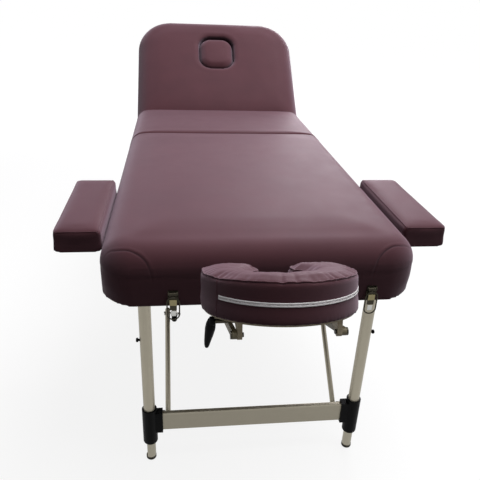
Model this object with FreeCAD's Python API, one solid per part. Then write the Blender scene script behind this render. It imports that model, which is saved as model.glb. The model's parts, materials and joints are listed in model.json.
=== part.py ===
import FreeCAD, Part
import math
import os

# A portable three-section massage table with aluminium legs, a lifting backrest,
# a tilting face cradle and two side armrests.  X is the width, Y runs from the
# face cradle to the far end, Z is up.  Sizes are in millimetres.  The pieces are
# drawn at stations: y = 0 is the near end of the foot pad.

# Table top
TABLE_WIDTH = 700.0
HALF_LENGTH = 925.0
TOP_EDGE_Z = 616.0
CROWN = 4.0
FRAME_BOTTOM_Z = 483.0
STRIP_LENGTH = 378.0
PAD_GAP = 2.0
CORNER_R = 76.0
FRAME_CORNER_R = 72.0
HEAD_CORNER_R = 50.0
BACK_CORNER_R = 150.0
FOLD_CORNER_R = 12.0
EDGE_R = 55.0
FOLD_EDGE_SHARE = 0.18
DRAW_IN = 1.2
CROWN_INSET = 90.0
EDGE_STEPS = 7
CROWN_SHARE = 0.7
CROWN_REACH = 0.4
SMALL_R = 4.0

# Frame inside the skirt
SKIRT = 8.0
SKIRT_LIFT = 0.5
FIT = 0.3
RAIL_T = 15.0
RAIL_H = 60.0
DECK_T = 6.0
CROSS_RAIL_H = 15.0

# Fold hinges
FOLD_DROP = 4.0
FOLD_HINGE_X = 220.0
FOLD_HINGE_WIDTH = 60.0
FOLD_LEAF_LENGTH = 40.0
FOLD_LEAF_T = 2.0
FOLD_LEAF_GAP = 2.0
KNUCKLE_R = 4.0
KNUCKLE_SHARE = 0.25
FOLD_PIN_R = 2.2

# Leg frames
LEG_INSET = 92.0
HEAD_LEG_SHIFT = 32.0
LEG_Y = 40.0
LEG_PIVOT_RISE = 30.0
LEG_R = 14.0
LEG_WALL = 1.5
INNER_LEG_R = 12.0
INNER_LEG_WALL = 1.5
INNER_LEG_TOP_Z = 402.0
TIP_H = 9.0
TIP_R = 12.6
COLLAR_R = 18.0
COLLAR_BOTTOM_Z = 57.0
COLLAR_TOP_Z = 163.0
COLLAR_LIP = 8.0
COLLAR_ROUND = 5.0
CROSSBAR_Z = 96.0
CROSSBAR_H = 53.0
CROSSBAR_T = 14.0
CROSSBAR_ROUND = 4.0
CROSSBAR_GRIP = 14.0
SOCKET_WALL = 4.0
SOCKET_REACH = 32.0
BUTTON_Z = 369.0
BUTTON_STEM_R = 3.0
BUTTON_CAP_R = 5.0
BUTTON_CAP_T = 5.0
BUTTON_TRAVEL = 3.0
CHEEK_T = 3.0
CHEEK_FLANGE = 14.0
CHEEK_HEAD_GAP = 0.7
LEG_BOLT_R = 4.0

# Folding braces
BRACE_R = 6.5
BRACE_GAP = 5.0
BRACE_SIDE_GAP = 1.0
BRACE_BEHIND = 17.0
BRACE_FOOT_Z = 120.0
BRACE_LUG_T = 10.0
BRACE_BOLT_R = 3.0
BRACE_TAIL = 10.0
BRACE_RAIL_SETBACK = 17.0

# Fits and fasteners
RUN_FIT = 0.05
SEAT_FIT = 0.02
BOLT_HEAD_T = 3.0
BOLT_HEAD_SHARE = 1.7
ROUND_SHARE = 0.45
CUT = 1.0
PICK = 0.1

# Backrest
NOSE_R = 30.0
NOSE_GAP = 2.5
NOSE_CLEAR = 0.8
BACK_ANGLE = 42.0
BACK_DECK_LIFT = 0.5
BACK_DECK_INSET = 15.0
HINGE_INSET = 150.0
EAR_T = 6.0
EAR_R = 9.0
LUG_T = 3.0
LUG_REACH = 42.0
LUG_H = 14.0
HINGE_PIN_R = 3.0
SLOT_MARGIN = 4.0
FACE_WIDTH = 153.0
FACE_LENGTH = 173.0
FACE_R = 53.0
FACE_CENTRE = 350.0
FACE_GAP = 1.5
FACE_LIP = 12.0
PLUG_EDGE_R = 12.0

# Backrest prop
PROP_LENGTH = 240.0
PROP_SLOPE = 7.1
PROP_X = 140.0
PROP_R = 6.0
PROP_PIN_R = 2.5
PROP_LUG_RIM = 1.0
RACK_X = 121.0
RACK_T = 10.0
RACK_DEPTH = 46.0
RACK_ARM_H = 12.0
RACK_CAP_DROP = 2.0
RACK_NOTCH_DEPTH = 3.0
RACK_NOTCH_STEP = 22.0
RACK_NOTCHES = 7
RACK_NOTCHES_LOW = 2

# Face cradle
ROD_X = 100.0
ROD_R = 8.0
ROD_Z = 503.0
ROD_INSIDE = 115.0
ROD_END_GAP = 5.0
SLEEVE_WALL = 2.0
ARM_WIDTH = 24.0
ARM_HEIGHT = 26.0
ARM_CLEAR = 8.0
ROD_IN_ARM = 60.0
BAR_WIDTH = 8.0
BAR_HEIGHT = 14.0
TILT_ALONG = 48.0
TILT_BELOW = 29.0
CRADLE_TILT = 19.6
CRADLE_FRONT_Y = -285.0
CRADLE_FRONT_Z = 630.0
CUSHION_R = 143.0
CUSHION_DEPTH = 228.0
CUSHION_T = 71.0
CUSHION_CROWN = 5.0
CUSHION_TAPER = 2.3
CUSHION_HOLE_R = 46.0
CUSHION_FRONT = 86.0
CUSHION_MOUTH = 52.0
CUSHION_EDGE_R = 14.0
CUSHION_LOW_SHARE = 0.2
CUSHION_WAIST_SHARE = 0.45
LOBE_R = 48.0
MOUTH_R = 24.0
LOBE_LEAST_R = 6.0
MOUTH_LEAST_R = 4.0
PLATFORM_T = 7.0
PLATFORM_INSET = 6.0
CHEEK_WIDTH = 8.0
CHEEK_NEAR = 38.0
CHEEK_FAR = 135.0
CHEEK_R = 8.0
TILT_BOLT_R = 4.0
LEVER_X = 121.0
LEVER_T = 10.0
LEVER_LENGTH = 56.0
LEVER_LEAN = 8.0
LEVER_HEAD_R = 9.0
LEVER_ROOT_R = 6.0
LEVER_TIP_R = 3.5
LEVER_ALONG = 95.0
LEVER_GAP = 1.5

# Armrests
ARMREST_GAP = 6.0
ARMREST_WIDTH = 104.0
ARMREST_LENGTH = 345.0
ARMREST_START = 130.0
ARMREST_BOARD_Z = 547.0
ARMREST_BOARD_T = 8.0
ARMREST_BOARD_INSET = 5.0
ARMREST_PAD_T = 46.0
ARMREST_CORNER_R = 20.0
ARMREST_EDGE_R = 9.0
PEG_R = 5.5
PEG_Z = 531.0
PEG_INSET_Y = 62.0
PEG_STUB = 30.0
PEG_SLEEVE = 46.0
PEG_END_GAP = 4.0

# Latches, keepers and bumpers
LATCH_LEFT_INSET = 156.0
LATCH_RIGHT_INSET = 112.0
LATCH_PLATE_WIDTH = 22.0
LATCH_PLATE_H = 30.0
LATCH_PLATE_T = 2.0
LATCH_PLATE_RISE = 9.0
LATCH_PIN_OUT = 5.0
LATCH_EAR_R = 4.0
LATCH_LEVER_WIDTH = 15.0
LATCH_LEVER_LENGTH = 40.0
LATCH_LEVER_T = 3.0
LATCH_WIRE_R = 1.5
LATCH_LOOP_WIDTH = 26.0
LATCH_LOOP_LENGTH = 55.0
LATCH_LOOP_DROP = 7.0
BUMPER_R = 8.0
BUMPER_T = 7.0
BUMPER_Z = 530.0
BUMPER_SETBACK = 46.0

# Levels and stations worked out from the sizes above
HALF_WIDTH = TABLE_WIDTH / 2
LEG_X = HALF_WIDTH - LEG_INSET
LATCH_LEFT_X = LATCH_LEFT_INSET - HALF_WIDTH
LATCH_RIGHT_X = HALF_WIDTH - LATCH_RIGHT_INSET
HINGE_X = HALF_WIDTH - HINGE_INSET
FOLD_Y = HALF_LENGTH
FAR_Y = 2 * HALF_LENGTH
FOLD_Z = FRAME_BOTTOM_Z - FOLD_DROP
RAIL_TOP_Z = FRAME_BOTTOM_Z + RAIL_H
DECK_TOP_Z = RAIL_TOP_Z + DECK_T
SKIRT_BOTTOM_Z = FRAME_BOTTOM_Z + SKIRT_LIFT
FRAME_HALF = HALF_WIDTH - SKIRT - FIT
FRAME_NEAR = SKIRT + FIT
FRAME_FOLD = FOLD_Y - PAD_GAP / 2 - SKIRT - FIT
RAIL_INSIDE = FRAME_HALF - RAIL_T
END_RAIL_INSIDE = FRAME_NEAR + RAIL_T
LEG_PIVOT_Z = FRAME_BOTTOM_Z + LEG_PIVOT_RISE
LEG_BORE_R = LEG_R - LEG_WALL
GUIDE_FLAT_R = LEG_BORE_R - BUTTON_TRAVEL - FIT
BRACE_TOP_Z = LEG_PIVOT_Z + BRACE_BEHIND
LOWER_BRACE_IN = SOCKET_REACH + BRACE_LUG_T / 2 + BRACE_SIDE_GAP + BRACE_R + RUN_FIT
UPPER_BRACE_IN = LOWER_BRACE_IN + 2 * BRACE_R + BRACE_GAP
STRIP_END = FOLD_Y + STRIP_LENGTH
CROSS_RAIL_Y = FAR_Y - STRIP_END
BRACE_END_Y = CROSS_RAIL_Y - BRACE_RAIL_SETBACK
BACK_NEAR = STRIP_END + NOSE_GAP
HINGE_Y = BACK_NEAR + NOSE_R
HINGE_Z = TOP_EDGE_Z - NOSE_R
BACK_DECK_Z = RAIL_TOP_Z + BACK_DECK_LIFT
BACK_PAD_Z = BACK_DECK_Z + DECK_T
LEVER_BELOW = PLATFORM_T + LEVER_HEAD_R + LEVER_GAP
PROP_DROP = 2 * PROP_SLOPE
PROP_Y = HINGE_Y + PROP_LENGTH * math.cos(math.radians(PROP_DROP))
PROP_Z = HINGE_Z - PROP_LENGTH * math.sin(math.radians(PROP_DROP))

X_AXIS = FreeCAD.Vector(1, 0, 0)
Y_AXIS = FreeCAD.Vector(0, 1, 0)


def vec(x, y, z):
    return FreeCAD.Vector(x, y, z)


def block(x0, x1, y0, y1, z0, z1):
    low_x, low_y, low_z = min(x0, x1), min(y0, y1), min(z0, z1)
    return Part.makeBox(abs(x1 - x0), abs(y1 - y0), abs(z1 - z0), vec(low_x, low_y, low_z))


def rod(start, end, radius):
    along = end.sub(start)
    return Part.makeCylinder(radius, along.Length, start, along)


def cross_pin(x0, x1, y, z, radius):
    return rod(vec(min(x0, x1), y, z), vec(max(x0, x1), y, z), radius)


def bolt(head_x, end_x, y, z, radius):
    side = 1 if head_x > end_x else -1
    shank = cross_pin(head_x, end_x, y, z, radius)
    head = cross_pin(head_x, head_x + side * BOLT_HEAD_T, y, z, radius * BOLT_HEAD_SHARE)
    return shank.fuse(head)


def joined(shapes):
    result = shapes[0].multiFuse(shapes[1:]) if len(shapes) > 1 else shapes[0]
    return result.removeSplitter()


def mirror_x(shape):
    return shape.mirror(vec(0, 0, 0), X_AXIS)


def mirror_fold(shape):
    return shape.mirror(vec(0, FOLD_Y, 0), Y_AXIS)


def both_sides(shape):
    return [shape, mirror_x(shape)]


def turned(shape, y, z, degrees):
    copy = shape.copy()
    copy.rotate(vec(0, y, z), X_AXIS, degrees)
    return copy


def side_plate(points, x0, x1):
    """A flat plate across X from its outline in the Y-Z plane."""
    low = min(x0, x1)
    wire = Part.makePolygon([vec(low, y, z) for y, z in points + points[:1]])
    return Part.Face(wire).extrude(vec(abs(x1 - x0), 0, 0))


def arc(start, middle, end):
    return Part.Arc(start, middle, end).toShape()


def outline(half_width, y0, y1, near_r, far_r, z):
    """A rectangle in plan with round corners, as a wire at height z."""
    edges = []
    corners = [(-1, y0, near_r), (1, y0, near_r), (1, y1, far_r), (-1, y1, far_r)]
    points = []
    for index, (side, y, radius) in enumerate(corners):
        inward = 1 if y == y0 else -1
        corner_x = side * half_width
        on_side = vec(corner_x, y + inward * radius, z)
        on_end = vec(corner_x - side * radius, y, z)
        reach = radius * (1 - math.sqrt(0.5))
        middle = vec(corner_x - side * reach, y + inward * reach, z)
        first_is_side = index in (0, 2)
        points.append((on_side, middle, on_end) if first_is_side else (on_end, middle, on_side))
    for index, (start, middle, end) in enumerate(points):
        edges.append(arc(start, middle, end))
        edges.append(Part.makeLine(end, points[(index + 1) % len(points)][0]))
    return Part.Wire(edges)


def slab(half_width, y0, y1, near_r, far_r, z0, z1):
    face = Part.Face(outline(half_width, y0, y1, near_r, far_r, z0))
    return face.extrude(vec(0, 0, z1 - z0))


def edge_profile(bottom_z, edge_z, edge_r, crown, crown_inset, draw_z):
    """Height and inset of each level of a cushion, from its foot to its crown."""
    levels = [(bottom_z, 0.0)]
    if draw_z is not None:
        levels += [(draw_z - 2 * DRAW_IN, 0.0), (draw_z, DRAW_IN)]
        levels += [(draw_z + 6 * DRAW_IN, 0.0)]
    for step in range(EDGE_STEPS + 1):
        angle = math.pi / 2 * step / EDGE_STEPS
        height = edge_z - edge_r + edge_r * math.sin(angle)
        levels.append((height, edge_r * (1 - math.cos(angle))))
    levels.append((edge_z + crown * CROWN_SHARE, edge_r + crown_inset * CROWN_REACH))
    levels.append((edge_z + crown, edge_r + crown_inset))
    return levels


def cushion(half_width, y0, y1, near_r, far_r, levels, near_share=1.0, far_share=1.0):
    """A crowned cushion lofted through round-cornered outlines."""
    wires = []
    for z, inset in levels:
        near = near_r - inset * near_share
        far = far_r - inset * far_share
        wires.append(outline(half_width - inset, y0 + inset * near_share, y1 - inset * far_share,
                             max(near, SMALL_R), max(far, SMALL_R), z))
    return Part.makeLoft(wires, True, True)


def table_pad(y0, y1, near_r, far_r, near_share, far_share, bottom_z, drawn):
    draw_z = DECK_TOP_Z if drawn else None
    levels = edge_profile(bottom_z, TOP_EDGE_Z, EDGE_R, CROWN, CROWN_INSET, draw_z)
    return cushion(HALF_WIDTH, y0, y1, near_r, far_r, levels, near_share, far_share)


# Foot half: pad, deck and rails
def frame_rails(corner_r):
    """Side, end and cross rails of one half with its round outer corners."""
    turn = corner_r - SKIRT - FIT
    turn_x = FRAME_HALF - turn
    turn_y = FRAME_NEAR + turn
    side = block(RAIL_INSIDE, FRAME_HALF, turn_y, FRAME_FOLD, FRAME_BOTTOM_Z, RAIL_TOP_Z)
    near = block(-turn_x, turn_x, FRAME_NEAR, END_RAIL_INSIDE, FRAME_BOTTOM_Z, RAIL_TOP_Z)
    fold = block(-RAIL_INSIDE, RAIL_INSIDE, FRAME_FOLD - RAIL_T, FRAME_FOLD,
                 FRAME_BOTTOM_Z, RAIL_TOP_Z)
    cross = block(-RAIL_INSIDE, RAIL_INSIDE, CROSS_RAIL_Y, CROSS_RAIL_Y + RAIL_T,
                  RAIL_TOP_Z - CROSS_RAIL_H, RAIL_TOP_Z)
    base = vec(turn_x, turn_y, FRAME_BOTTOM_Z)
    ring = Part.makeCylinder(turn, RAIL_H, base).cut(Part.makeCylinder(turn - RAIL_T, RAIL_H, base))
    corner = ring.common(block(turn_x, FRAME_HALF + CUT, FRAME_NEAR - CUT, turn_y,
                               FRAME_BOTTOM_Z, RAIL_TOP_Z))
    return dict(sides=both_sides(side), near=near, fold=fold, cross=cross,
                corners=both_sides(corner))


def rod_holes(radius):
    """The two cradle rod bores through one end of a half."""
    hole = rod(vec(ROD_X, -SKIRT, ROD_Z), vec(ROD_X, END_RAIL_INSIDE + CUT, ROD_Z), radius)
    return both_sides(hole)


def peg_stations():
    first = ARMREST_START + PEG_INSET_Y
    return [first, ARMREST_START + ARMREST_LENGTH - PEG_INSET_Y]


def peg_holes(radius):
    holes = []
    for y in peg_stations():
        hole = cross_pin(RAIL_INSIDE - CUT, HALF_WIDTH + CUT, y, PEG_Z, radius)
        holes += both_sides(hole)
    return holes


def cut_all(shape, tools):
    return shape.cut(Part.makeCompound(tools))


def foot_half():
    nodes = {}
    rails = frame_rails(FRAME_CORNER_R)
    bore = ROD_R + SLEEVE_WALL
    peg_bore = PEG_R + SLEEVE_WALL
    pad = table_pad(0, FOLD_Y - PAD_GAP / 2, CORNER_R, FOLD_CORNER_R, 1.0, FOLD_EDGE_SHARE,
                    SKIRT_BOTTOM_Z, True)
    pocket = slab(FRAME_HALF + FIT, SKIRT, FRAME_FOLD + FIT, FRAME_CORNER_R - SKIRT, FIT,
                  FRAME_BOTTOM_Z - CUT, DECK_TOP_Z)
    pad = pad.cut(pocket)
    nodes["foot_pad"] = cut_all(pad, rod_holes(bore) + peg_holes(peg_bore))
    nodes["foot_deck"] = slab(FRAME_HALF, FRAME_NEAR, FRAME_FOLD, FRAME_CORNER_R - SKIRT - FIT,
                              SMALL_R, RAIL_TOP_Z, DECK_TOP_Z)
    near = cut_all(rails["near"], rod_holes(bore))
    sides = [cut_all(side, peg_holes(peg_bore)) for side in rails["sides"]]
    nodes["foot_rails"] = Part.makeCompound([near, rails["fold"], rails["cross"]] + sides
                                            + rails["corners"])
    nodes["sleeve_sockets"] = Part.makeCompound(rod_sleeves() + peg_sleeves())
    return nodes


def rod_sleeves():
    start = vec(ROD_X, FRAME_NEAR, ROD_Z)
    end = vec(ROD_X, END_RAIL_INSIDE + ROD_INSIDE, ROD_Z)
    sleeve = rod(start, end, ROD_R + SLEEVE_WALL).cut(rod(start, end, ROD_R + 2 * RUN_FIT))
    return both_sides(sleeve)


def peg_sleeves():
    sleeves = []
    for y in peg_stations():
        inner = RAIL_INSIDE - PEG_SLEEVE
        outer = cross_pin(inner, HALF_WIDTH, y, PEG_Z, PEG_R + SLEEVE_WALL)
        sleeve = outer.cut(cross_pin(inner, HALF_WIDTH, y, PEG_Z, PEG_R + 2 * RUN_FIT))
        sleeves += both_sides(sleeve)
    return sleeves


# Leg hinges and brace hinges, drawn at the near end for one leg spacing
def leg_bracket(leg_x):
    """A folded bracket astride the leg's head: two cheeks, a bridge and a flange."""
    inner = LEG_R + FIT
    low = LEG_PIVOT_Z - LEG_R
    high = LEG_PIVOT_Z + LEG_R + CHEEK_HEAD_GAP
    near = LEG_Y - LEG_R
    far = LEG_Y + LEG_R
    pieces = [block(leg_x - inner - CHEEK_T, leg_x + inner + CHEEK_T, near, far, high, high + CHEEK_T)]
    for side in (-1, 1):
        x0 = leg_x + side * inner
        pieces.append(block(x0, x0 + side * CHEEK_T, near, far, low, high + CHEEK_T))
    flange_x = leg_x - inner
    pieces.append(block(flange_x - CHEEK_T, flange_x, END_RAIL_INSIDE, far, low, high + CHEEK_T))
    pieces.append(block(flange_x - CHEEK_T - CHEEK_FLANGE, flange_x, END_RAIL_INSIDE,
                        END_RAIL_INSIDE + CHEEK_T, low, high + CHEEK_T))
    hole = cross_pin(leg_x - 2 * LEG_R, leg_x + 2 * LEG_R, LEG_Y, LEG_PIVOT_Z, LEG_BOLT_R + SEAT_FIT)
    return joined(pieces).cut(hole)


def brace_cheeks(leg_x):
    cheeks = []
    brace_x = leg_x - UPPER_BRACE_IN
    inner = BRACE_R + FIT
    for side in (-1, 1):
        x0 = brace_x + side * inner
        x1 = brace_x + side * (inner + CHEEK_T / 2)
        plate = block(x0, x1, BRACE_END_Y - BRACE_R, CROSS_RAIL_Y, BRACE_TOP_Z - BRACE_R,
                      BRACE_TOP_Z + BRACE_R)
        hole = cross_pin(x0 - side, x1 + side, BRACE_END_Y, BRACE_TOP_Z, BRACE_BOLT_R + SEAT_FIT)
        cheeks.append(plate.cut(hole))
    return cheeks


def frame_brackets(leg_x):
    return both_sides(Part.makeCompound([leg_bracket(leg_x)] + brace_cheeks(leg_x)))


def frame_bolts(leg_x):
    reach = LEG_R + FIT + CHEEK_T
    leg_bolt = bolt(leg_x + reach, leg_x - reach - BOLT_HEAD_T, LEG_Y, LEG_PIVOT_Z, LEG_BOLT_R)
    brace_x = leg_x - UPPER_BRACE_IN
    brace_reach = BRACE_R + FIT + CHEEK_T / 2
    brace_bolt = bolt(brace_x - brace_reach, brace_x + brace_reach, BRACE_END_Y, BRACE_TOP_Z,
                      BRACE_BOLT_R)
    return both_sides(leg_bolt) + both_sides(brace_bolt)


# Fold hinges under the meeting rails
def fold_hinge(is_head):
    """One leaf of each fold hinge, with its knuckles about the fold axis."""
    half = FOLD_HINGE_WIDTH / 2
    end = FOLD_HINGE_WIDTH * KNUCKLE_SHARE
    x0, x1 = FOLD_HINGE_X - half, FOLD_HINGE_X + half
    leaf_end = FOLD_Y - KNUCKLE_R - FOLD_LEAF_GAP
    leaf = block(x0, x1, leaf_end - FOLD_LEAF_LENGTH, leaf_end, FRAME_BOTTOM_Z - FOLD_LEAF_T,
                 FRAME_BOTTOM_Z)
    if is_head:
        spans = [(x0 + end + FIT, x1 - end - FIT)]
        bore = FOLD_PIN_R + RUN_FIT
    else:
        spans = [(x0, x0 + end), (x1 - end, x1)]
        bore = FOLD_PIN_R + SEAT_FIT
    pieces = [leaf]
    for a, b in spans:
        pieces.append(block(a, b, leaf_end - CUT, FOLD_Y, FRAME_BOTTOM_Z - FOLD_LEAF_T,
                            FRAME_BOTTOM_Z))
        pieces.append(cross_pin(a, b, FOLD_Y, FOLD_Z, KNUCKLE_R))
    body = joined(pieces).cut(cross_pin(x0 - CUT, x1 + CUT, FOLD_Y, FOLD_Z, bore))
    return mirror_fold(body) if is_head else body


def fold_pins():
    half = FOLD_HINGE_WIDTH / 2 + CUT
    pin = cross_pin(FOLD_HINGE_X - half, FOLD_HINGE_X + half, FOLD_Y, FOLD_Z, FOLD_PIN_R)
    return both_sides(pin)


# Leg frame, drawn at the near end for one leg spacing
def leg_tube(leg_x):
    bottom = COLLAR_BOTTOM_Z + COLLAR_LIP
    axis_low = vec(leg_x, LEG_Y, bottom)
    axis_top = vec(leg_x, LEG_Y, LEG_PIVOT_Z + LEG_R)
    tube = rod(axis_low, axis_top, LEG_R)
    shape = block(leg_x - LEG_R, leg_x + LEG_R, LEG_Y - LEG_R, LEG_Y + LEG_R, bottom, LEG_PIVOT_Z)
    head = cross_pin(leg_x - LEG_R, leg_x + LEG_R, LEG_Y, LEG_PIVOT_Z, LEG_R)
    tube = tube.common(joined([shape, head]))
    bore = rod(axis_low, vec(leg_x, LEG_Y, LEG_PIVOT_Z - LEG_R), LEG_BORE_R)
    bolt_hole = cross_pin(leg_x - 2 * LEG_R, leg_x + 2 * LEG_R, LEG_Y, LEG_PIVOT_Z, LEG_BOLT_R + RUN_FIT)
    stem_hole = cross_pin(leg_x, leg_x + 2 * LEG_R, LEG_Y, BUTTON_Z, BUTTON_STEM_R + 2 * RUN_FIT)
    return cut_all(tube, [bore, bolt_hole, stem_hole])


def connector(leg_x):
    """The collar round the leg's foot, with the crossbar socket and the brace lug."""
    low = vec(leg_x, LEG_Y, COLLAR_BOTTOM_Z)
    collar = Part.makeCylinder(COLLAR_R, COLLAR_TOP_Z - COLLAR_BOTTOM_Z, low)
    bottom_edge = [e for e in collar.Edges if e.BoundBox.ZMax < COLLAR_BOTTOM_Z + PICK]
    collar = collar.makeFillet(COLLAR_ROUND, bottom_edge[:1])
    half_t = CROSSBAR_T / 2 + SOCKET_WALL
    socket = block(leg_x - SOCKET_REACH, leg_x, LEG_Y - half_t, LEG_Y + half_t,
                   CROSSBAR_Z - SOCKET_WALL, CROSSBAR_Z + CROSSBAR_H + SOCKET_WALL)
    lug_x = leg_x - SOCKET_REACH
    lug = block(lug_x - BRACE_LUG_T / 2, lug_x + BRACE_LUG_T / 2, LEG_Y + half_t - CUT,
                LEG_Y + BRACE_BEHIND + BRACE_R, BRACE_FOOT_Z - 2 * BRACE_R, BRACE_FOOT_Z + 2 * BRACE_R)
    body = joined([collar, socket, lug])
    tube_bore = rod(vec(leg_x, LEG_Y, COLLAR_BOTTOM_Z + COLLAR_LIP), vec(leg_x, LEG_Y, COLLAR_TOP_Z + CUT),
                    LEG_R + SEAT_FIT)
    foot_bore = rod(vec(leg_x, LEG_Y, COLLAR_BOTTOM_Z - CUT), vec(leg_x, LEG_Y, COLLAR_TOP_Z),
                    INNER_LEG_R + FIT)
    bar_slot = block(0, bar_half(leg_x) + SEAT_FIT, LEG_Y - CROSSBAR_T / 2 - SEAT_FIT,
                     LEG_Y + CROSSBAR_T / 2 + SEAT_FIT, CROSSBAR_Z - SEAT_FIT,
                     CROSSBAR_Z + CROSSBAR_H + SEAT_FIT)
    bolt_hole = cross_pin(lug_x - BRACE_LUG_T, lug_x + BRACE_LUG_T, LEG_Y + BRACE_BEHIND, BRACE_FOOT_Z,
                          BRACE_BOLT_R + RUN_FIT)
    return cut_all(body, [tube_bore, foot_bore, bar_slot, bolt_hole])


def bar_half(leg_x):
    return leg_x - SOCKET_REACH + CROSSBAR_GRIP


def crossbar(leg_x):
    half = bar_half(leg_x)
    bar = block(-half, half, LEG_Y - CROSSBAR_T / 2, LEG_Y + CROSSBAR_T / 2, CROSSBAR_Z,
                CROSSBAR_Z + CROSSBAR_H)
    long_edges = [e for e in bar.Edges if e.BoundBox.XLength > half]
    return bar.makeFillet(CROSSBAR_ROUND, long_edges)


def inner_leg(leg_x):
    """The sliding foot tube, with a flat along its outer side for the button."""
    tube = flat_sided(leg_x, INNER_LEG_R, GUIDE_FLAT_R)
    return tube.cut(flat_sided(leg_x, INNER_LEG_R - INNER_LEG_WALL, GUIDE_FLAT_R - INNER_LEG_WALL))


def flat_sided(leg_x, radius, flat):
    low = vec(leg_x, LEG_Y, TIP_H)
    bar = Part.makeCylinder(radius, INNER_LEG_TOP_Z - TIP_H, low)
    return bar.cut(block(leg_x + flat, leg_x + 2 * LEG_R, LEG_Y - LEG_R, LEG_Y + LEG_R, TIP_H - CUT,
                         INNER_LEG_TOP_Z + CUT))


def leg_tip(leg_x):
    tip = Part.makeCylinder(TIP_R, TIP_H, vec(leg_x, LEG_Y, 0))
    bottom = [e for e in tip.Edges if e.BoundBox.ZMax < PICK]
    return tip.makeFillet(TIP_H / 3, bottom[:1])


def leg_button(leg_x):
    stem_in = leg_x + LEG_BORE_R + 2 * RUN_FIT
    cap_in = leg_x + LEG_R + BUTTON_TRAVEL + FIT
    stem = cross_pin(stem_in, cap_in, LEG_Y, BUTTON_Z, BUTTON_STEM_R)
    cap = cross_pin(cap_in, cap_in + BUTTON_CAP_T, LEG_Y, BUTTON_Z, BUTTON_CAP_R)
    rim = [e for e in cap.Edges if e.BoundBox.XMin > cap_in + BUTTON_CAP_T - PICK]
    cap = cap.makeFillet(BUTTON_CAP_T * ROUND_SHARE, rim[:1])
    return joined([stem, cap])


# Folding braces: the elbow divides the straight length so that the brace folds flat
def brace_points():
    foot = (LEG_Y + BRACE_BEHIND, BRACE_FOOT_Z)
    top = (BRACE_END_Y, BRACE_TOP_Z)
    span = math.dist(foot, top)
    folded = BRACE_END_Y - (LEG_Y + LEG_PIVOT_Z - BRACE_FOOT_Z)
    share = (span - folded) / 2 / span
    elbow = (foot[0] + (top[0] - foot[0]) * share, foot[1] + (top[1] - foot[1]) * share)
    return foot, elbow, top


def brace_bar(x, pivot, elbow, holes):
    """A round bar from its pivot to just past the elbow, with ball ends."""
    length = math.dist(pivot, elbow)
    tail = BRACE_TAIL / length
    end = (elbow[0] + (elbow[0] - pivot[0]) * tail, elbow[1] + (elbow[1] - pivot[1]) * tail)
    start = vec(x, *pivot)
    stop = vec(x, *end)
    body = joined([rod(start, stop, BRACE_R), Part.makeSphere(BRACE_R, start),
                   Part.makeSphere(BRACE_R, stop)])
    tools = [cross_pin(x - 2 * BRACE_R, x + 2 * BRACE_R, y, z, r) for (y, z), r in holes]
    return cut_all(body, tools)


def lower_brace(leg_x):
    foot, elbow, top = brace_points()
    seat = BRACE_BOLT_R + SEAT_FIT
    return brace_bar(leg_x - LOWER_BRACE_IN, foot, elbow, [(foot, seat), (elbow, seat)])


def upper_brace(leg_x):
    foot, elbow, top = brace_points()
    return brace_bar(leg_x - UPPER_BRACE_IN, top, elbow, [(top, BRACE_BOLT_R + RUN_FIT)])


def brace_bolts(leg_x):
    foot, elbow, top = brace_points()
    x = leg_x - LOWER_BRACE_IN
    lug_out = leg_x - SOCKET_REACH + BRACE_LUG_T / 2
    pivot = bolt(x - BRACE_R - RUN_FIT, lug_out, foot[0], foot[1], BRACE_BOLT_R)
    joint = bolt(x + BRACE_R + RUN_FIT, x - BRACE_R - BRACE_GAP + FIT, elbow[0], elbow[1], BRACE_BOLT_R)
    return both_sides(pivot) + both_sides(joint)


def leg_frame(end, leg_x, place):
    """All nodes of the legs and braces at one end; place moves them there."""
    nodes = {}
    nodes[end + "_leg_tubes"] = Part.makeCompound(both_sides(leg_tube(leg_x)))
    nodes[end + "_leg_connectors"] = Part.makeCompound(both_sides(connector(leg_x)))
    nodes[end + "_crossbar"] = crossbar(leg_x)
    nodes[end + "_lower_braces"] = Part.makeCompound(both_sides(lower_brace(leg_x)))
    nodes[end + "_upper_braces"] = Part.makeCompound(both_sides(upper_brace(leg_x)))
    nodes[end + "_brace_bolts"] = Part.makeCompound(brace_bolts(leg_x))
    for name, make in (("inner_leg", inner_leg), ("leg_tip", leg_tip), ("leg_button", leg_button)):
        right = make(leg_x)
        nodes["%s_%s_right" % (end, name)] = right
        nodes["%s_%s_left" % (end, name)] = mirror_x(right)
    return {name: place(shape) for name, shape in nodes.items()}


# Head half: the strip pad, its deck and rails, and what carries the backrest
def head_half():
    nodes = {}
    pad = table_pad(FOLD_Y + PAD_GAP / 2, STRIP_END, FOLD_CORNER_R, FOLD_CORNER_R, FOLD_EDGE_SHARE,
                    FOLD_EDGE_SHARE, SKIRT_BOTTOM_Z, True)
    fold_frame = 2 * FOLD_Y - FRAME_FOLD
    pocket = block(-FRAME_HALF - FIT, FRAME_HALF + FIT, fold_frame - FIT, STRIP_END + CUT,
                   FRAME_BOTTOM_Z - CUT, DECK_TOP_Z)
    nodes["mid_pad"] = pad.cut(pocket)
    nodes["mid_deck"] = slab(FRAME_HALF, fold_frame, STRIP_END, SMALL_R, SMALL_R,
                             RAIL_TOP_Z, DECK_TOP_Z)
    rails = frame_rails(HEAD_CORNER_R)
    near = cut_all(rails["near"], rod_holes(ROD_R + SLEEVE_WALL))
    all_rails = [near, rails["fold"], rails["cross"]] + rails["sides"] + rails["corners"]
    nodes["head_rails"] = Part.makeCompound([mirror_fold(rail) for rail in all_rails])
    nodes["head_sleeves"] = Part.makeCompound([mirror_fold(s) for s in rod_sleeves()])
    nodes["backrest_hinge_ears"] = Part.makeCompound(both_sides(hinge_ear()))
    nodes["prop_racks"] = Part.makeCompound(both_sides(prop_rack()))
    return nodes


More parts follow.
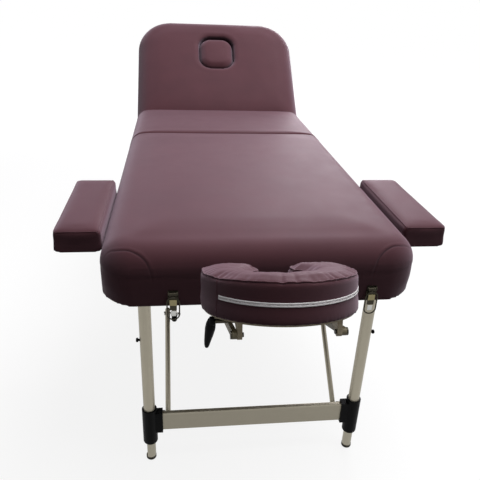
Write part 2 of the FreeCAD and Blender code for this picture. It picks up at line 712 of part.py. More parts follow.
def hinge_ear():
    """A plate on the cross rail that carries the backrest's hinge pin."""
    rail_face = STRIP_END
    points = [(rail_face, RAIL_TOP_Z - CROSS_RAIL_H), (HINGE_Y + EAR_R, RAIL_TOP_Z - CROSS_RAIL_H),
              (HINGE_Y + EAR_R, HINGE_Z), (HINGE_Y - EAR_R, HINGE_Z),
              (HINGE_Y - EAR_R, RAIL_TOP_Z), (rail_face, RAIL_TOP_Z)]
    x0, x1 = HINGE_X - EAR_T / 2, HINGE_X + EAR_T / 2
    plate = joined([side_plate(points, x0, x1), cross_pin(x0, x1, HINGE_Y, HINGE_Z, EAR_R)])
    return plate.cut(cross_pin(x0 - CUT, x1 + CUT, HINGE_Y, HINGE_Z, HINGE_PIN_R + RUN_FIT))


def foot_line_z(y):
    """Height of the line along which the prop's foot travels."""
    return HINGE_Z - (y - HINGE_Y) * math.tan(math.radians(PROP_SLOPE))


def prop_rack():
    """A notched bar under the prop's foot, from the cross rail to the end rail."""
    far = FAR_Y - END_RAIL_INSIDE
    lift = (PROP_R + FIT) / math.cos(math.radians(PROP_SLOPE))
    cap_z = RAIL_TOP_Z - RACK_CAP_DROP
    slope_start = HINGE_Y + (HINGE_Z - cap_z - lift) / math.tan(math.radians(PROP_SLOPE))
    deep_start = slope_start - RACK_DEPTH
    low_z = cap_z - RACK_DEPTH
    points = [(STRIP_END, cap_z), (slope_start, cap_z), (far, foot_line_z(far) - lift), (far, low_z),
              (deep_start, low_z), (deep_start - RACK_DEPTH, cap_z - RACK_ARM_H),
              (STRIP_END, cap_z - RACK_ARM_H)]
    x0, x1 = RACK_X - RACK_T / 2, RACK_X + RACK_T / 2
    plate = side_plate(points, x0, x1)
    rest_y, rest_z = prop_foot(BACK_ANGLE)
    notches = []
    for step in range(RACK_NOTCHES):
        y = rest_y + (RACK_NOTCHES_LOW - step) * RACK_NOTCH_STEP
        floor_z = foot_line_z(y) - RACK_NOTCH_DEPTH
        notches.append(cross_pin(x0 - CUT, x1 + CUT, y, floor_z, PROP_R + FIT))
    return cut_all(plate, notches)


def prop_foot(back_angle):
    """Where the prop's foot lies when the backrest is raised by back_angle."""
    lift = math.radians(back_angle - PROP_DROP)
    fall = math.radians(back_angle)
    y = HINGE_Y + PROP_LENGTH * (math.cos(lift) + math.cos(fall))
    z = HINGE_Z + PROP_LENGTH * (math.sin(lift) - math.sin(fall))
    return y, z


# Backrest, drawn flat and then raised about its hinge
def face_hole(grow, z0, z1):
    centre = STRIP_END + FACE_CENTRE
    half = FACE_LENGTH / 2 + grow
    return slab(FACE_WIDTH / 2 + grow, centre - half, centre + half, FACE_R + grow, FACE_R + grow, z0, z1)


def hinge_slot():
    reach = EAR_T / 2 + LUG_T + FIT + SLOT_MARGIN
    return block(HINGE_X - reach, HINGE_X + reach, BACK_NEAR - CUT, HINGE_Y + LUG_REACH + SLOT_MARGIN,
                 BACK_PAD_Z - CUT, HINGE_Z + EAR_R + SLOT_MARGIN)


def under_nose():
    """What comes off the pad's near underside so that it clears the rails as it turns."""
    corner = block(-HALF_WIDTH - CUT, HALF_WIDTH + CUT, BACK_NEAR - CUT, HINGE_Y, BACK_PAD_Z - CUT, HINGE_Z)
    sweep = HINGE_Z - RAIL_TOP_Z - NOSE_CLEAR
    return corner.cut(cross_pin(-TABLE_WIDTH, TABLE_WIDTH, HINGE_Y, HINGE_Z, sweep))


def backrest_nodes():
    nodes = {}
    pad = table_pad(BACK_NEAR, FAR_Y, FOLD_CORNER_R, BACK_CORNER_R, NOSE_R / EDGE_R, 1.0, BACK_PAD_Z, False)
    hole = face_hole(FACE_GAP, BACK_PAD_Z - CUT, TOP_EDGE_Z + 2 * CROWN)
    nodes["backrest_pad"] = cut_all(pad, [hole, under_nose()] + both_sides(hinge_slot()))
    deck = slab(HALF_WIDTH - BACK_DECK_INSET, HINGE_Y, FAR_Y - BACK_DECK_INSET, SMALL_R,
                BACK_CORNER_R - BACK_DECK_INSET, BACK_DECK_Z, BACK_PAD_Z)
    reach = EAR_T / 2 + SLOT_MARGIN
    notch = block(HINGE_X - reach, HINGE_X + reach, HINGE_Y - CUT, HINGE_Y + EAR_R + SLOT_MARGIN,
                  BACK_DECK_Z - CUT, BACK_PAD_Z + CUT)
    deck_hole = face_hole(-FACE_LIP, BACK_DECK_Z - CUT, BACK_PAD_Z + CUT)
    nodes["backrest_deck"] = cut_all(deck, [deck_hole] + both_sides(notch))
    nodes["backrest_brackets"] = Part.makeCompound(hinge_lugs() + prop_lugs())
    nodes["backrest_pins"] = Part.makeCompound(backrest_pins())
    nodes["face_plug"] = face_plug()
    raised = {name: turned(shape, HINGE_Y, HINGE_Z, BACK_ANGLE) for name, shape in nodes.items()}
    prop = turned(prop_frame(), PROP_Y, PROP_Z, -2 * BACK_ANGLE)
    raised["backrest_prop"] = turned(prop, HINGE_Y, HINGE_Z, BACK_ANGLE)
    return raised


def face_plug():
    centre = STRIP_END + FACE_CENTRE
    levels = edge_profile(BACK_PAD_Z, TOP_EDGE_Z, PLUG_EDGE_R, CROWN, FACE_R / 2, None)
    return cushion(FACE_WIDTH / 2, centre - FACE_LENGTH / 2, centre + FACE_LENGTH / 2, FACE_R, FACE_R,
                   levels)


def hinge_lugs():
    """Plates on the deck either side of each ear."""
    lugs = []
    for side in (-1, 1):
        x0 = HINGE_X + side * (EAR_T / 2 + FIT)
        x1 = x0 + side * LUG_T
        far = HINGE_Y + LUG_REACH
        points = [(HINGE_Y - EAR_R, HINGE_Z), (HINGE_Y + EAR_R + SLOT_MARGIN, BACK_PAD_Z),
                  (far, BACK_PAD_Z), (far, BACK_PAD_Z + LUG_H), (HINGE_Y + EAR_R, HINGE_Z)]
        plate = joined([side_plate(points, x0, x1), cross_pin(x0, x1, HINGE_Y, HINGE_Z, EAR_R)])
        plate = plate.cut(cross_pin(x0 - side, x1 + side, HINGE_Y, HINGE_Z, HINGE_PIN_R + SEAT_FIT))
        lugs += both_sides(plate)
    return lugs


def prop_lugs():
    lugs = []
    for side in (-1, 1):
        x0 = PROP_X + side * (PROP_R + FIT)
        x1 = x0 + side * LUG_T
        reach = PROP_R + PROP_LUG_RIM
        points = [(PROP_Y - reach, BACK_DECK_Z), (PROP_Y - reach, PROP_Z), (PROP_Y + reach, PROP_Z),
                  (PROP_Y + reach, BACK_DECK_Z)]
        plate = joined([side_plate(points, x0, x1), cross_pin(x0, x1, PROP_Y, PROP_Z, reach)])
        plate = plate.cut(cross_pin(x0 - side, x1 + side, PROP_Y, PROP_Z, PROP_PIN_R + SEAT_FIT))
        lugs += both_sides(plate)
    return lugs


def backrest_pins():
    half = EAR_T / 2 + FIT + LUG_T
    hinge_pin = cross_pin(HINGE_X - half, HINGE_X + half, HINGE_Y, HINGE_Z, HINGE_PIN_R)
    half = PROP_R + FIT + LUG_T
    prop_pin = cross_pin(PROP_X - half, PROP_X + half, PROP_Y, PROP_Z, PROP_PIN_R)
    return both_sides(hinge_pin) + both_sides(prop_pin)


def prop_frame():
    """A bent bar: two legs from the deck's lugs and a foot across the racks."""
    foot_y = PROP_Y + PROP_LENGTH
    pieces = [rod(vec(-PROP_X, foot_y, PROP_Z), vec(PROP_X, foot_y, PROP_Z), PROP_R)]
    for x in (-PROP_X, PROP_X):
        pieces.append(rod(vec(x, PROP_Y, PROP_Z), vec(x, foot_y, PROP_Z), PROP_R))
        pieces.append(Part.makeSphere(PROP_R, vec(x, PROP_Y, PROP_Z)))
        pieces.append(Part.makeSphere(PROP_R, vec(x, foot_y, PROP_Z)))
    pins = [cross_pin(x - 2 * PROP_R, x + 2 * PROP_R, PROP_Y, PROP_Z, PROP_PIN_R + RUN_FIT)
            for x in (-PROP_X, PROP_X)]
    return cut_all(joined(pieces), pins)


# Face cradle: rods and arms at the near end, and a tilting platform with its cushion
def tilted_point(along, up):
    """Station and height of a point on the cradle, from its cushion's front bottom edge."""
    angle = math.radians(CRADLE_TILT)
    y = CRADLE_FRONT_Y + along * math.cos(angle) + up * math.sin(angle)
    z = CRADLE_FRONT_Z - along * math.sin(angle) + up * math.cos(angle)
    return y, z


def tilt_axis():
    return tilted_point(TILT_ALONG, -TILT_BELOW)


def tilted(shape):
    copy = shape.copy()
    copy.translate(vec(0, CRADLE_FRONT_Y, CRADLE_FRONT_Z))
    copy.rotate(vec(0, CRADLE_FRONT_Y, CRADLE_FRONT_Z), X_AXIS, -CRADLE_TILT)
    return copy


def quarter(centre_x, centre_y, radius, from_deg, to_deg, z):
    """An arc in plan about a centre, from one direction to another."""
    points = []
    for degrees in (from_deg, (from_deg + to_deg) / 2, to_deg):
        angle = math.radians(degrees)
        points.append(vec(centre_x + radius * math.cos(angle), centre_y + radius * math.sin(angle), z))
    return arc(*points)


def horseshoe(inset, z):
    """The cradle's outline: a round front, two lobes and a gap towards the table."""
    outer = CUSHION_R - inset
    lobe = max(LOBE_R - inset, LOBE_LEAST_R)
    mouth = max(MOUTH_R - inset, MOUTH_LEAST_R)
    back = CUSHION_DEPTH - inset
    hole = CUSHION_HOLE_R + inset
    gap = CUSHION_MOUTH / 2 + inset
    turn = math.degrees(math.acos(gap / hole))
    centre_y = CUSHION_R
    hole_y = CUSHION_FRONT + CUSHION_HOLE_R
    lobe_y = back - lobe
    front = [quarter(0, centre_y, outer, 180, 270, z), quarter(0, centre_y, outer, 270, 360, z)]
    right = [quarter(outer - lobe, lobe_y, lobe, 0, 90, z),
             quarter(gap + mouth, back - mouth, mouth, 90, 180, z)]
    inner = [quarter(0, hole_y, hole, turn, -90, z), quarter(0, hole_y, hole, -90, -180 - turn, z)]
    left = [quarter(-gap - mouth, back - mouth, mouth, 0, 90, z),
            quarter(-outer + lobe, lobe_y, lobe, 90, 180, z)]
    arcs = front + right + inner + left
    edges = []
    for index, piece in enumerate(arcs):
        following = arcs[(index + 1) % len(arcs)]
        edges.append(piece)
        end = piece.valueAt(piece.LastParameter)
        start = following.valueAt(following.FirstParameter)
        if end.distanceToPoint(start) > SEAT_FIT:
            edges.append(Part.makeLine(end, start))
    return Part.Wire(Part.__sortEdges__(edges))


def cradle_cushion():
    levels = [(0.0, DRAW_IN), (CUSHION_T * CUSHION_LOW_SHARE, 0.0),
              (CUSHION_T * CUSHION_WAIST_SHARE, DRAW_IN / 2)]
    for step in range(EDGE_STEPS + 1):
        angle = math.pi / 2 * step / EDGE_STEPS
        height = CUSHION_T - CUSHION_EDGE_R * (1 - math.sin(angle))
        levels.append((height, CUSHION_EDGE_R * (1 - math.cos(angle))))
    levels.append((CUSHION_T + CUSHION_CROWN, CUSHION_EDGE_R + 2 * CUSHION_CROWN))
    wires = [turned(horseshoe(inset, z), 0, z, -CUSHION_TAPER * z / CUSHION_T) for z, inset in levels]
    return Part.makeLoft(wires, True, True)


def platform():
    panel = Part.Face(horseshoe(PLATFORM_INSET, -PLATFORM_T)).extrude(vec(0, 0, PLATFORM_T))
    return tilted(panel)


def platform_cheek():
    """A wooden cheek from the platform's underside down to the tilt bolt."""
    x0 = ROD_X - ARM_WIDTH / 2 - FIT - CHEEK_WIDTH
    x1 = x0 + CHEEK_WIDTH
    tilt_y, tilt_z = tilt_axis()
    points = [tilted_point(CHEEK_NEAR, -PLATFORM_T), (tilt_y - CHEEK_R, tilt_z), (tilt_y + CHEEK_R, tilt_z),
              tilted_point(CHEEK_FAR, -PLATFORM_T)]
    plate = joined([side_plate(points, x0, x1), cross_pin(x0, x1, tilt_y, tilt_z, CHEEK_R)])
    tilt_hole = cross_pin(x0 - CUT, x1 + CUT, tilt_y, tilt_z, TILT_BOLT_R + SEAT_FIT)
    lever_y, lever_z = tilted_point(LEVER_ALONG, -LEVER_BELOW)
    lever_hole = cross_pin(x0 - CUT, x1 + CUT, lever_y, lever_z, TILT_BOLT_R + SEAT_FIT)
    return cut_all(plate, [tilt_hole, lever_hole])


def cradle_arm():
    """A wooden arm: a block on the rod's end and a bar that rises to the tilt bolt."""
    x0 = ROD_X - ARM_WIDTH / 2
    bar_x = x0 + BAR_WIDTH
    back = -ARM_CLEAR - ROD_IN_ARM
    half = ARM_HEIGHT / 2
    tilt_y, tilt_z = tilt_axis()
    grip = block(x0, x0 + ARM_WIDTH, back, -ARM_CLEAR, ROD_Z - half, ROD_Z + half)
    share = BAR_HEIGHT / 2 / math.dist((tilt_y, tilt_z), (back, ROD_Z))
    side_y, side_z = (tilt_z - ROD_Z) * share, (back - tilt_y) * share
    points = [(tilt_y + side_y, tilt_z + side_z), (back + side_y, ROD_Z + side_z),
              (back - side_y, ROD_Z - side_z), (tilt_y - side_y, tilt_z - side_z)]
    pieces = [grip, side_plate(points, x0, bar_x), cross_pin(x0, bar_x, tilt_y, tilt_z, BAR_HEIGHT / 2),
              cross_pin(x0, bar_x, back, ROD_Z, BAR_HEIGHT / 2)]
    bore = rod(vec(ROD_X, back, ROD_Z), vec(ROD_X, 0, ROD_Z), ROD_R + SEAT_FIT)
    bolt_hole = cross_pin(x0 - CUT, bar_x + CUT, tilt_y, tilt_z, TILT_BOLT_R + RUN_FIT)
    return cut_all(joined(pieces), [bore, bolt_hole])


def cradle_rod():
    return rod(vec(ROD_X, -ARM_CLEAR - ROD_IN_ARM, ROD_Z),
               vec(ROD_X, END_RAIL_INSIDE + ROD_INSIDE - ROD_END_GAP, ROD_Z), ROD_R)


def tilt_bolt():
    inner = ROD_X - ARM_WIDTH / 2
    return bolt(inner + BAR_WIDTH, inner - FIT - CHEEK_WIDTH - BOLT_HEAD_T, *tilt_axis(), TILT_BOLT_R)


def lever_bolt():
    """The cam bolt from the left cheek out to the clamp lever."""
    y, z = tilted_point(LEVER_ALONG, -LEVER_BELOW)
    inner = ROD_X - ARM_WIDTH / 2 - FIT - CHEEK_WIDTH
    return cross_pin(-inner, -LEVER_X - LEVER_T, y, z, TILT_BOLT_R)


def clamp_lever():
    """A tapered clamp lever that hangs beside the platform and leans outwards."""
    y, z = tilted_point(LEVER_ALONG, -LEVER_BELOW)
    x0, x1 = -LEVER_X - LEVER_T, -LEVER_X
    top = vec((x0 + x1) / 2, y, z)
    tip = vec(top.x - LEVER_LEAN, y, z - LEVER_LENGTH + LEVER_TIP_R)
    along = tip.sub(top)
    horn = Part.makeCone(LEVER_ROOT_R, LEVER_TIP_R, along.Length, top, along)
    body = joined([horn, cross_pin(x0, x1, y, z, LEVER_HEAD_R), Part.makeSphere(LEVER_TIP_R, tip)])
    return body.cut(cross_pin(x0 - CUT, x1 + CUT, y, z, TILT_BOLT_R + RUN_FIT))


def cradle_nodes():
    nodes = {}
    nodes["cradle_rods"] = Part.makeCompound(both_sides(cradle_rod()))
    nodes["cradle_arms"] = Part.makeCompound(both_sides(cradle_arm()))
    nodes["cradle_platform"] = Part.makeCompound([platform()] + both_sides(platform_cheek()))
    nodes["cradle_bolts"] = Part.makeCompound(both_sides(tilt_bolt()) + [lever_bolt()])
    nodes["cradle_cushion"] = tilted(cradle_cushion())
    nodes["cradle_lever"] = clamp_lever()
    return nodes


# Armrests
def armrest(side):
    near = HALF_WIDTH + ARMREST_GAP
    centre = near + ARMREST_WIDTH / 2
    half = ARMREST_WIDTH / 2
    far_y = ARMREST_START + ARMREST_LENGTH
    board_top = ARMREST_BOARD_Z + ARMREST_BOARD_T
    inset = ARMREST_BOARD_INSET
    board_r = ARMREST_CORNER_R - inset
    board = slab(half - inset, ARMREST_START + inset, far_y - inset, board_r, board_r,
                 ARMREST_BOARD_Z, board_top)
    levels = edge_profile(board_top, board_top + ARMREST_PAD_T, ARMREST_EDGE_R, CROWN / 2,
                          ARMREST_EDGE_R / 2, None)
    pad = cushion(half, ARMREST_START, far_y, ARMREST_CORNER_R, ARMREST_CORNER_R, levels)
    for shape in (board, pad):
        shape.translate(vec(centre, 0, 0))
    pegs = [armrest_peg(y, near) for y in peg_stations()]
    base = [board] + pegs
    name = "right" if side > 0 else "left"
    shapes = {"armrest_pad_" + name: [pad], "armrest_base_" + name: base}
    nodes = {}
    for node, solids in shapes.items():
        placed = solids if side > 0 else [mirror_x(solid) for solid in solids]
        nodes[node] = placed[0] if len(placed) == 1 else Part.makeCompound(placed)
    return nodes


def armrest_peg(y, near):
    """A bent peg: level in the side sleeve, then up to the board."""
    inner = RAIL_INSIDE - PEG_SLEEVE + PEG_END_GAP
    bend_x = near + PEG_STUB
    level = rod(vec(inner, y, PEG_Z), vec(bend_x, y, PEG_Z), PEG_R)
    stub = rod(vec(bend_x, y, PEG_Z), vec(bend_x, y, ARMREST_BOARD_Z), PEG_R)
    return joined([level, Part.makeSphere(PEG_R, vec(bend_x, y, PEG_Z)), stub])


# Latches that hold the folded halves, their keepers, and side bumpers
def latch_plate(x):
    low = FRAME_BOTTOM_Z + LATCH_PLATE_RISE
    half = LATCH_PLATE_WIDTH / 2
    plate = block(x - half, x + half, -LATCH_PLATE_T, 0, low, low + LATCH_PLATE_H)
    pin_z = latch_pin_z()
    wide = LATCH_LEVER_WIDTH / 2 + FIT
    pieces = [plate]
    for side in (-1, 1):
        x0 = x + side * wide
        ear = cross_pin(x0, x0 + side * LATCH_PLATE_T, -LATCH_PIN_OUT, pin_z, LATCH_EAR_R)
        web = block(x0, x0 + side * LATCH_PLATE_T, -LATCH_PIN_OUT, 0, pin_z - LATCH_EAR_R,
                    pin_z + LATCH_EAR_R)
        pieces += [ear, web]
    pieces.append(cross_pin(x - wide, x + wide, -LATCH_PIN_OUT, pin_z, LATCH_WIRE_R))
    return joined(pieces)


def latch_pin_z():
    return FRAME_BOTTOM_Z + LATCH_PLATE_RISE + LATCH_PLATE_H - LATCH_PIN_OUT


def latch_lever(x):
    """The lever and its wire loop, hanging from the plate's pin."""
    pin_z = latch_pin_z()
    half = LATCH_LEVER_WIDTH / 2
    eye_r = LATCH_WIRE_R + RUN_FIT
    eye = cross_pin(x - half, x + half, -LATCH_PIN_OUT, pin_z, LATCH_PIN_OUT - LATCH_PLATE_T - FIT)
    front = -LATCH_PIN_OUT - LATCH_LEVER_T / 2
    strap = block(x - half, x + half, front, front + LATCH_LEVER_T, pin_z - LATCH_LEVER_LENGTH, pin_z)
    hole = cross_pin(x - half - CUT, x + half + CUT, -LATCH_PIN_OUT, pin_z, eye_r)
    lever = joined([eye, strap]).cut(hole)
    return Part.makeCompound([lever, latch_loop(x, front - LATCH_WIRE_R, pin_z)])


def latch_loop(x, y, pin_z):
    """A wire loop in front of the lever, round at both ends."""
    half = LATCH_LOOP_WIDTH / 2
    top = pin_z - LATCH_LOOP_DROP
    high = top - half
    low = top - LATCH_LOOP_LENGTH + half
    rounds = []
    for z, up in ((high, 1), (low, -1)):
        ring = Part.makeTorus(half, LATCH_WIRE_R, vec(x, y, z), Y_AXIS)
        wide = half + 2 * LATCH_WIRE_R
        keep = block(x - wide, x + wide, y - wide, y + wide, z, z + up * wide)
        rounds.append(ring.common(keep))
    sides = [rod(vec(x + s * half, y, low), vec(x + s * half, y, high), LATCH_WIRE_R) for s in (-1, 1)]
    return joined(rounds + sides)


def latch_keeper(x):
    """A hooked plate on the far end rail that the wire loop catches."""
    face = FAR_Y - FRAME_NEAR
    half = LATCH_PLATE_WIDTH / 2
    low = FRAME_BOTTOM_Z + LATCH_PLATE_RISE
    plate = block(x - half, x + half, face, face + LATCH_PLATE_T, low, low + LATCH_PLATE_H)
    hook = block(x - half / 2, x + half / 2, face, face + SKIRT, low + half, low + half + LATCH_PLATE_T)
    return joined([plate, hook])


def side_bumpers():
    bumpers = []
    for y in (BUMPER_SETBACK + FRAME_CORNER_R / 2, FOLD_Y - BUMPER_SETBACK):
        cap = cross_pin(HALF_WIDTH, HALF_WIDTH + BUMPER_T, y, BUMPER_Z, BUMPER_R)
        rim = [e for e in cap.Edges if e.BoundBox.XMin > HALF_WIDTH + BUMPER_T - PICK]
        bumpers.append(cap.makeFillet(BUMPER_T * ROUND_SHARE, rim[:1]))
    return bumpers


def all_nodes():
    nodes = {}
    nodes.update(foot_half())
    head_leg_x = LEG_X + HEAD_LEG_SHIFT
    nodes["foot_brackets"] = Part.makeCompound(frame_brackets(LEG_X))
    nodes["foot_bolts"] = Part.makeCompound(frame_bolts(LEG_X) + fold_pins())
    nodes["foot_fold_hinges"] = Part.makeCompound(both_sides(fold_hinge(False)))
    nodes.update(leg_frame("foot", LEG_X, lambda shape: shape))
    nodes.update(head_half())
    keepers = [latch_keeper(x) for x in (LATCH_LEFT_X, LATCH_RIGHT_X)]
    head_brackets = [mirror_fold(bracket) for bracket in frame_brackets(head_leg_x)]
    nodes["head_brackets"] = Part.makeCompound(head_brackets + keepers)
    nodes["head_bolts"] = Part.makeCompound([mirror_fold(b) for b in frame_bolts(head_leg_x)])
    nodes["head_fold_hinges"] = Part.makeCompound(both_sides(fold_hinge(True)))
    nodes.update(leg_frame("head", head_leg_x, mirror_fold))
    nodes.update(backrest_nodes())
    nodes.update(cradle_nodes())
    nodes.update(armrest(1))
    nodes.update(armrest(-1))
    nodes["latch_plates"] = Part.makeCompound([latch_plate(x) for x in (LATCH_LEFT_X, LATCH_RIGHT_X)])
    nodes["latch_left"] = latch_lever(LATCH_LEFT_X)
    nodes["latch_right"] = latch_lever(LATCH_RIGHT_X)
    nodes["side_bumpers"] = Part.makeCompound(side_bumpers())
    return nodes


def middle_station(nodes):
    """The middle of the whole part along its length, where the origin lies."""
    boxes = [shape.optimalBoundingBox() for shape in nodes.values()]
    return (min(box.YMin for box in boxes) + max(box.YMax for box in boxes)) / 2


def print_places(middle):
    """Pivot places in the part's frame, for reading beside the joints."""
    foot, elbow, top = brace_points()
    lever_y, lever_z = tilted_point(LEVER_ALONG, -LEVER_BELOW)
    turn = math.radians(BACK_ANGLE - PROP_DROP)
    prop_y = HINGE_Y + PROP_LENGTH * math.cos(turn)
    prop_z = HINGE_Z + PROP_LENGTH * math.sin(turn)
    places = {"fold": (FOLD_Y, FOLD_Z), "foot_leg": (LEG_Y, LEG_PIVOT_Z),
              "head_leg": (FAR_Y - LEG_Y, LEG_PIVOT_Z), "brace_foot": foot, "brace_elbow": elbow,
              "brace_top": top, "hinge": (HINGE_Y, HINGE_Z), "prop": (prop_y, prop_z),
              "tilt": tilt_axis(), "lever": (lever_y, lever_z),
              "latch": (-LATCH_PIN_OUT, latch_pin_z()), "prop_foot": prop_foot(BACK_ANGLE)}
    for name, (y, z) in places.items():
        print("%s y %.3f z %.3f" % (name, y - middle, z))
    print("middle %.3f" % middle)


def main():
    os.makedirs("parts", exist_ok=True)
    nodes = all_nodes()
    middle = middle_station(nodes)
    print_places(middle)
    for name, shape in nodes.items():
        moved = shape.copy()
        moved.translate(vec(0, -middle, 0))
        moved.exportStep("parts/%s.step" % name)
        if not moved.isValid():
            print("not valid:", name)
    print(len(nodes), "nodes")


main()
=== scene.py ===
import json
import math
from collections import namedtuple

import bmesh
import bpy
import numpy as np
from mathutils import Matrix, Vector
from mathutils.bvhtree import BVHTree


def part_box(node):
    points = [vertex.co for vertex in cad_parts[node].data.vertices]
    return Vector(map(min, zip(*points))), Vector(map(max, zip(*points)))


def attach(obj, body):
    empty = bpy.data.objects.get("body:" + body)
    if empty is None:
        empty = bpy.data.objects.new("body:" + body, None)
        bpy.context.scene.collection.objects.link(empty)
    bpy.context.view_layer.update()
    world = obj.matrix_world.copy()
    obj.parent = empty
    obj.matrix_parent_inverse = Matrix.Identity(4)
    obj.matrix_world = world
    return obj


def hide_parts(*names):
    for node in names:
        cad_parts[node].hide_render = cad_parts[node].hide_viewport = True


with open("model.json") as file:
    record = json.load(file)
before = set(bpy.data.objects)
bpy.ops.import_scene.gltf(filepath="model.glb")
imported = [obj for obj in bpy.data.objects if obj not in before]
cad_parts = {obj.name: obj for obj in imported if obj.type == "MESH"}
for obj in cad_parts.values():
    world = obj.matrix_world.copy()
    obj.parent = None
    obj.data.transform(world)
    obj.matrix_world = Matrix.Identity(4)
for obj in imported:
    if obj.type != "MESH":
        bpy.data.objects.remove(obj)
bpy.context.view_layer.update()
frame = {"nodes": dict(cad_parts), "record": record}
NODES = frame["nodes"]
JOINTS = {joint["name"]: joint for joint in frame["record"]["behaviour"]["joints"]}
NEAR_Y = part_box("foot_pad")[0].y
MM = 0.001
TINY = 1e-9
SIDES = ("left", "right")


def station(x, y, z):
    """A point given from the near end of the foot pad, in metres."""
    return Vector((x, y + NEAR_Y, z))


# Materials
EDGE_FROM, EDGE_TO = 0.53, 0.62
FINE_BUMP = 0.0002
COARSE_BUMP = 0.0003
PLY = 0.0052


def put(tree, kind, inputs=None, **settings):
    node = tree.nodes.new("ShaderNode" + kind)
    for key, value in settings.items():
        setattr(node, key, value)
    set_inputs(tree, node, inputs or {})
    return node


def set_inputs(tree, node, inputs):
    for key, value in inputs.items():
        plug(tree, node.inputs[key], value)


def plug(tree, socket, value):
    if isinstance(value, bpy.types.NodeSocket):
        tree.links.new(value, socket)
    else:
        socket.default_value = value


def graph(name):
    material = bpy.data.materials.new(name)
    material.use_nodes = True
    tree = material.node_tree
    tree.nodes.clear()
    output = put(tree, "OutputMaterial")
    shader = put(tree, "BsdfPrincipled")
    tree.links.new(shader.outputs[0], output.inputs[0])
    return material, tree, shader


def coords(tree, size=(1, 1, 1), turn=(0, 0, 0)):
    """Object coordinates, turned and then counted in features of the given size."""
    place = put(tree, "TexCoord").outputs["Object"]
    return put(tree, "Mapping", {"Vector": place, "Scale": size, "Rotation": turn},
               vector_type="TEXTURE").outputs[0]


def noise(tree, vector, scale=1.0, detail=3.0, rough=0.5):
    return put(tree, "TexNoise", {"Vector": vector, "Scale": scale, "Detail": detail,
                                  "Roughness": rough}).outputs[0]


def ramp(tree, factor, low, high, start=0.3, end=0.7):
    """A number or colour that goes from low to high as the factor does."""
    if isinstance(low, (int, float)):
        return put(tree, "MapRange", {"Value": factor, "From Min": start, "From Max": end,
                                      "To Min": low, "To Max": high}).outputs[0]
    node = put(tree, "ValToRGB", {"Fac": factor})
    for element, position, colour in zip(node.color_ramp.elements, (start, end), (low, high)):
        element.position = position
        element.color = (*colour, 1)
    return node.outputs[0]


def mix(tree, factor, first, second):
    node = put(tree, "Mix", {"Factor": factor}, data_type="RGBA", blend_type="MIX")
    for socket, value in ((node.inputs[6], first), (node.inputs[7], second)):
        plug(tree, socket, value if isinstance(value, bpy.types.NodeSocket) else (*value, 1))
    return node.outputs[2]


def math_node(tree, operation, first, second):
    return put(tree, "Math", {0: first, 1: second}, operation=operation).outputs[0]


def product(tree, first, second):
    return math_node(tree, "MULTIPLY", first, second)


def bump(tree, shader, height, strength, distance):
    node = put(tree, "Bump", {"Height": height, "Strength": strength, "Distance": distance})
    tree.links.new(node.outputs[0], shader.inputs["Normal"])


def times(colour, share, lift=0.0):
    """A colour made darker or paler."""
    return [c * share + lift for c in colour]


# Sharp edges: paler wear on plastic and rubber, painted highlight on metal, and both on vinyl.
def edge_wear_and_highlight(tree, amount):
    """0 on flat faces and up to the amount on sharp edges."""
    edge = put(tree, "NewGeometry").outputs["Pointiness"]
    return ramp(tree, edge, 0.0, amount, EDGE_FROM, EDGE_TO)


def vinyl(name, dark, light, rough):
    """Upholstery vinyl: pebbled grain, pores, cloudy colour, painted shade in its seams and gaps,
    and paler edges that are partly rubbed wear and partly painted highlight.
    """
    material, tree, shader = graph(name)
    place = coords(tree)
    cells = put(tree, "TexVoronoi", {"Vector": place, "Scale": 850.0},
                feature="SMOOTH_F1").outputs[0]
    pores = noise(tree, place, scale=2600.0, detail=2.0)
    clouds = noise(tree, place, scale=9.0, detail=4.0)
    smears = noise(tree, place, scale=23.0, detail=5.0, rough=0.6)
    seam = put(tree, "Attribute", attribute_name="seam").outputs["Fac"]
    colour = mix(tree, ramp(tree, clouds, 0.0, 1.0), dark, light)
    grain = ramp(tree, cells, 0.0, 0.28, start=0.2, end=0.9)
    colour = mix(tree, grain, colour, times(dark, 0.55))
    # Painted shade: darker colour where the seam attribute marks seam grooves and the face plug's
    # gap.
    colour = mix(tree, product(tree, seam, 0.85), colour, times(dark, 0.25))
    # Paler sharp edges: partly rubbed wear, partly painted highlight.
    rub = product(tree, edge_wear_and_highlight(tree, 0.2), smears)
    colour = mix(tree, rub, colour, times(light, 1.7))
    matt = math_node(tree, "ADD", ramp(tree, smears, *rough), product(tree, seam, 0.35))
    set_inputs(tree, shader, {"Base Color": colour, "Roughness": matt,
                              "Specular IOR Level": 0.035, "Sheen Weight": 0.33,
                              "Sheen Roughness": 0.62, "Sheen Tint": (1.0, 0.80, 0.96, 1)})
    height = math_node(tree, "ADD", cells, product(tree, pores, 0.5))
    bump(tree, shader, height, strength=0.22, distance=COARSE_BUMP)
    return material


def brushed(name, colour, turn=(0, 0, 0), rough=(0.34, 0.5), along=0.09, across=0.0007):
    """Drawn metal: fine streaks along local Z, smudges and a faint painted highlight on its
    edges.
    """
    material, tree, shader = graph(name)
    streaks = noise(tree, coords(tree, (across, across, along), turn), detail=4.0, rough=0.6)
    smudges = noise(tree, coords(tree), scale=34.0, detail=5.0, rough=0.62)
    shade = mix(tree, ramp(tree, streaks, 0.0, 1.0), times(colour, 0.84), colour)
    # Painted highlight: paler colour on sharp edges.
    shade = mix(tree, edge_wear_and_highlight(tree, 0.6), shade, times(colour, 1.25))
    spread = math_node(tree, "ADD", product(tree, streaks, 0.5), product(tree, smudges, 0.5))
    set_inputs(tree, shader, {"Base Color": shade, "Metallic": 1.0,
                              "Roughness": ramp(tree, spread, *rough)})
    bump(tree, shader, streaks, strength=0.08, distance=FINE_BUMP)
    return material


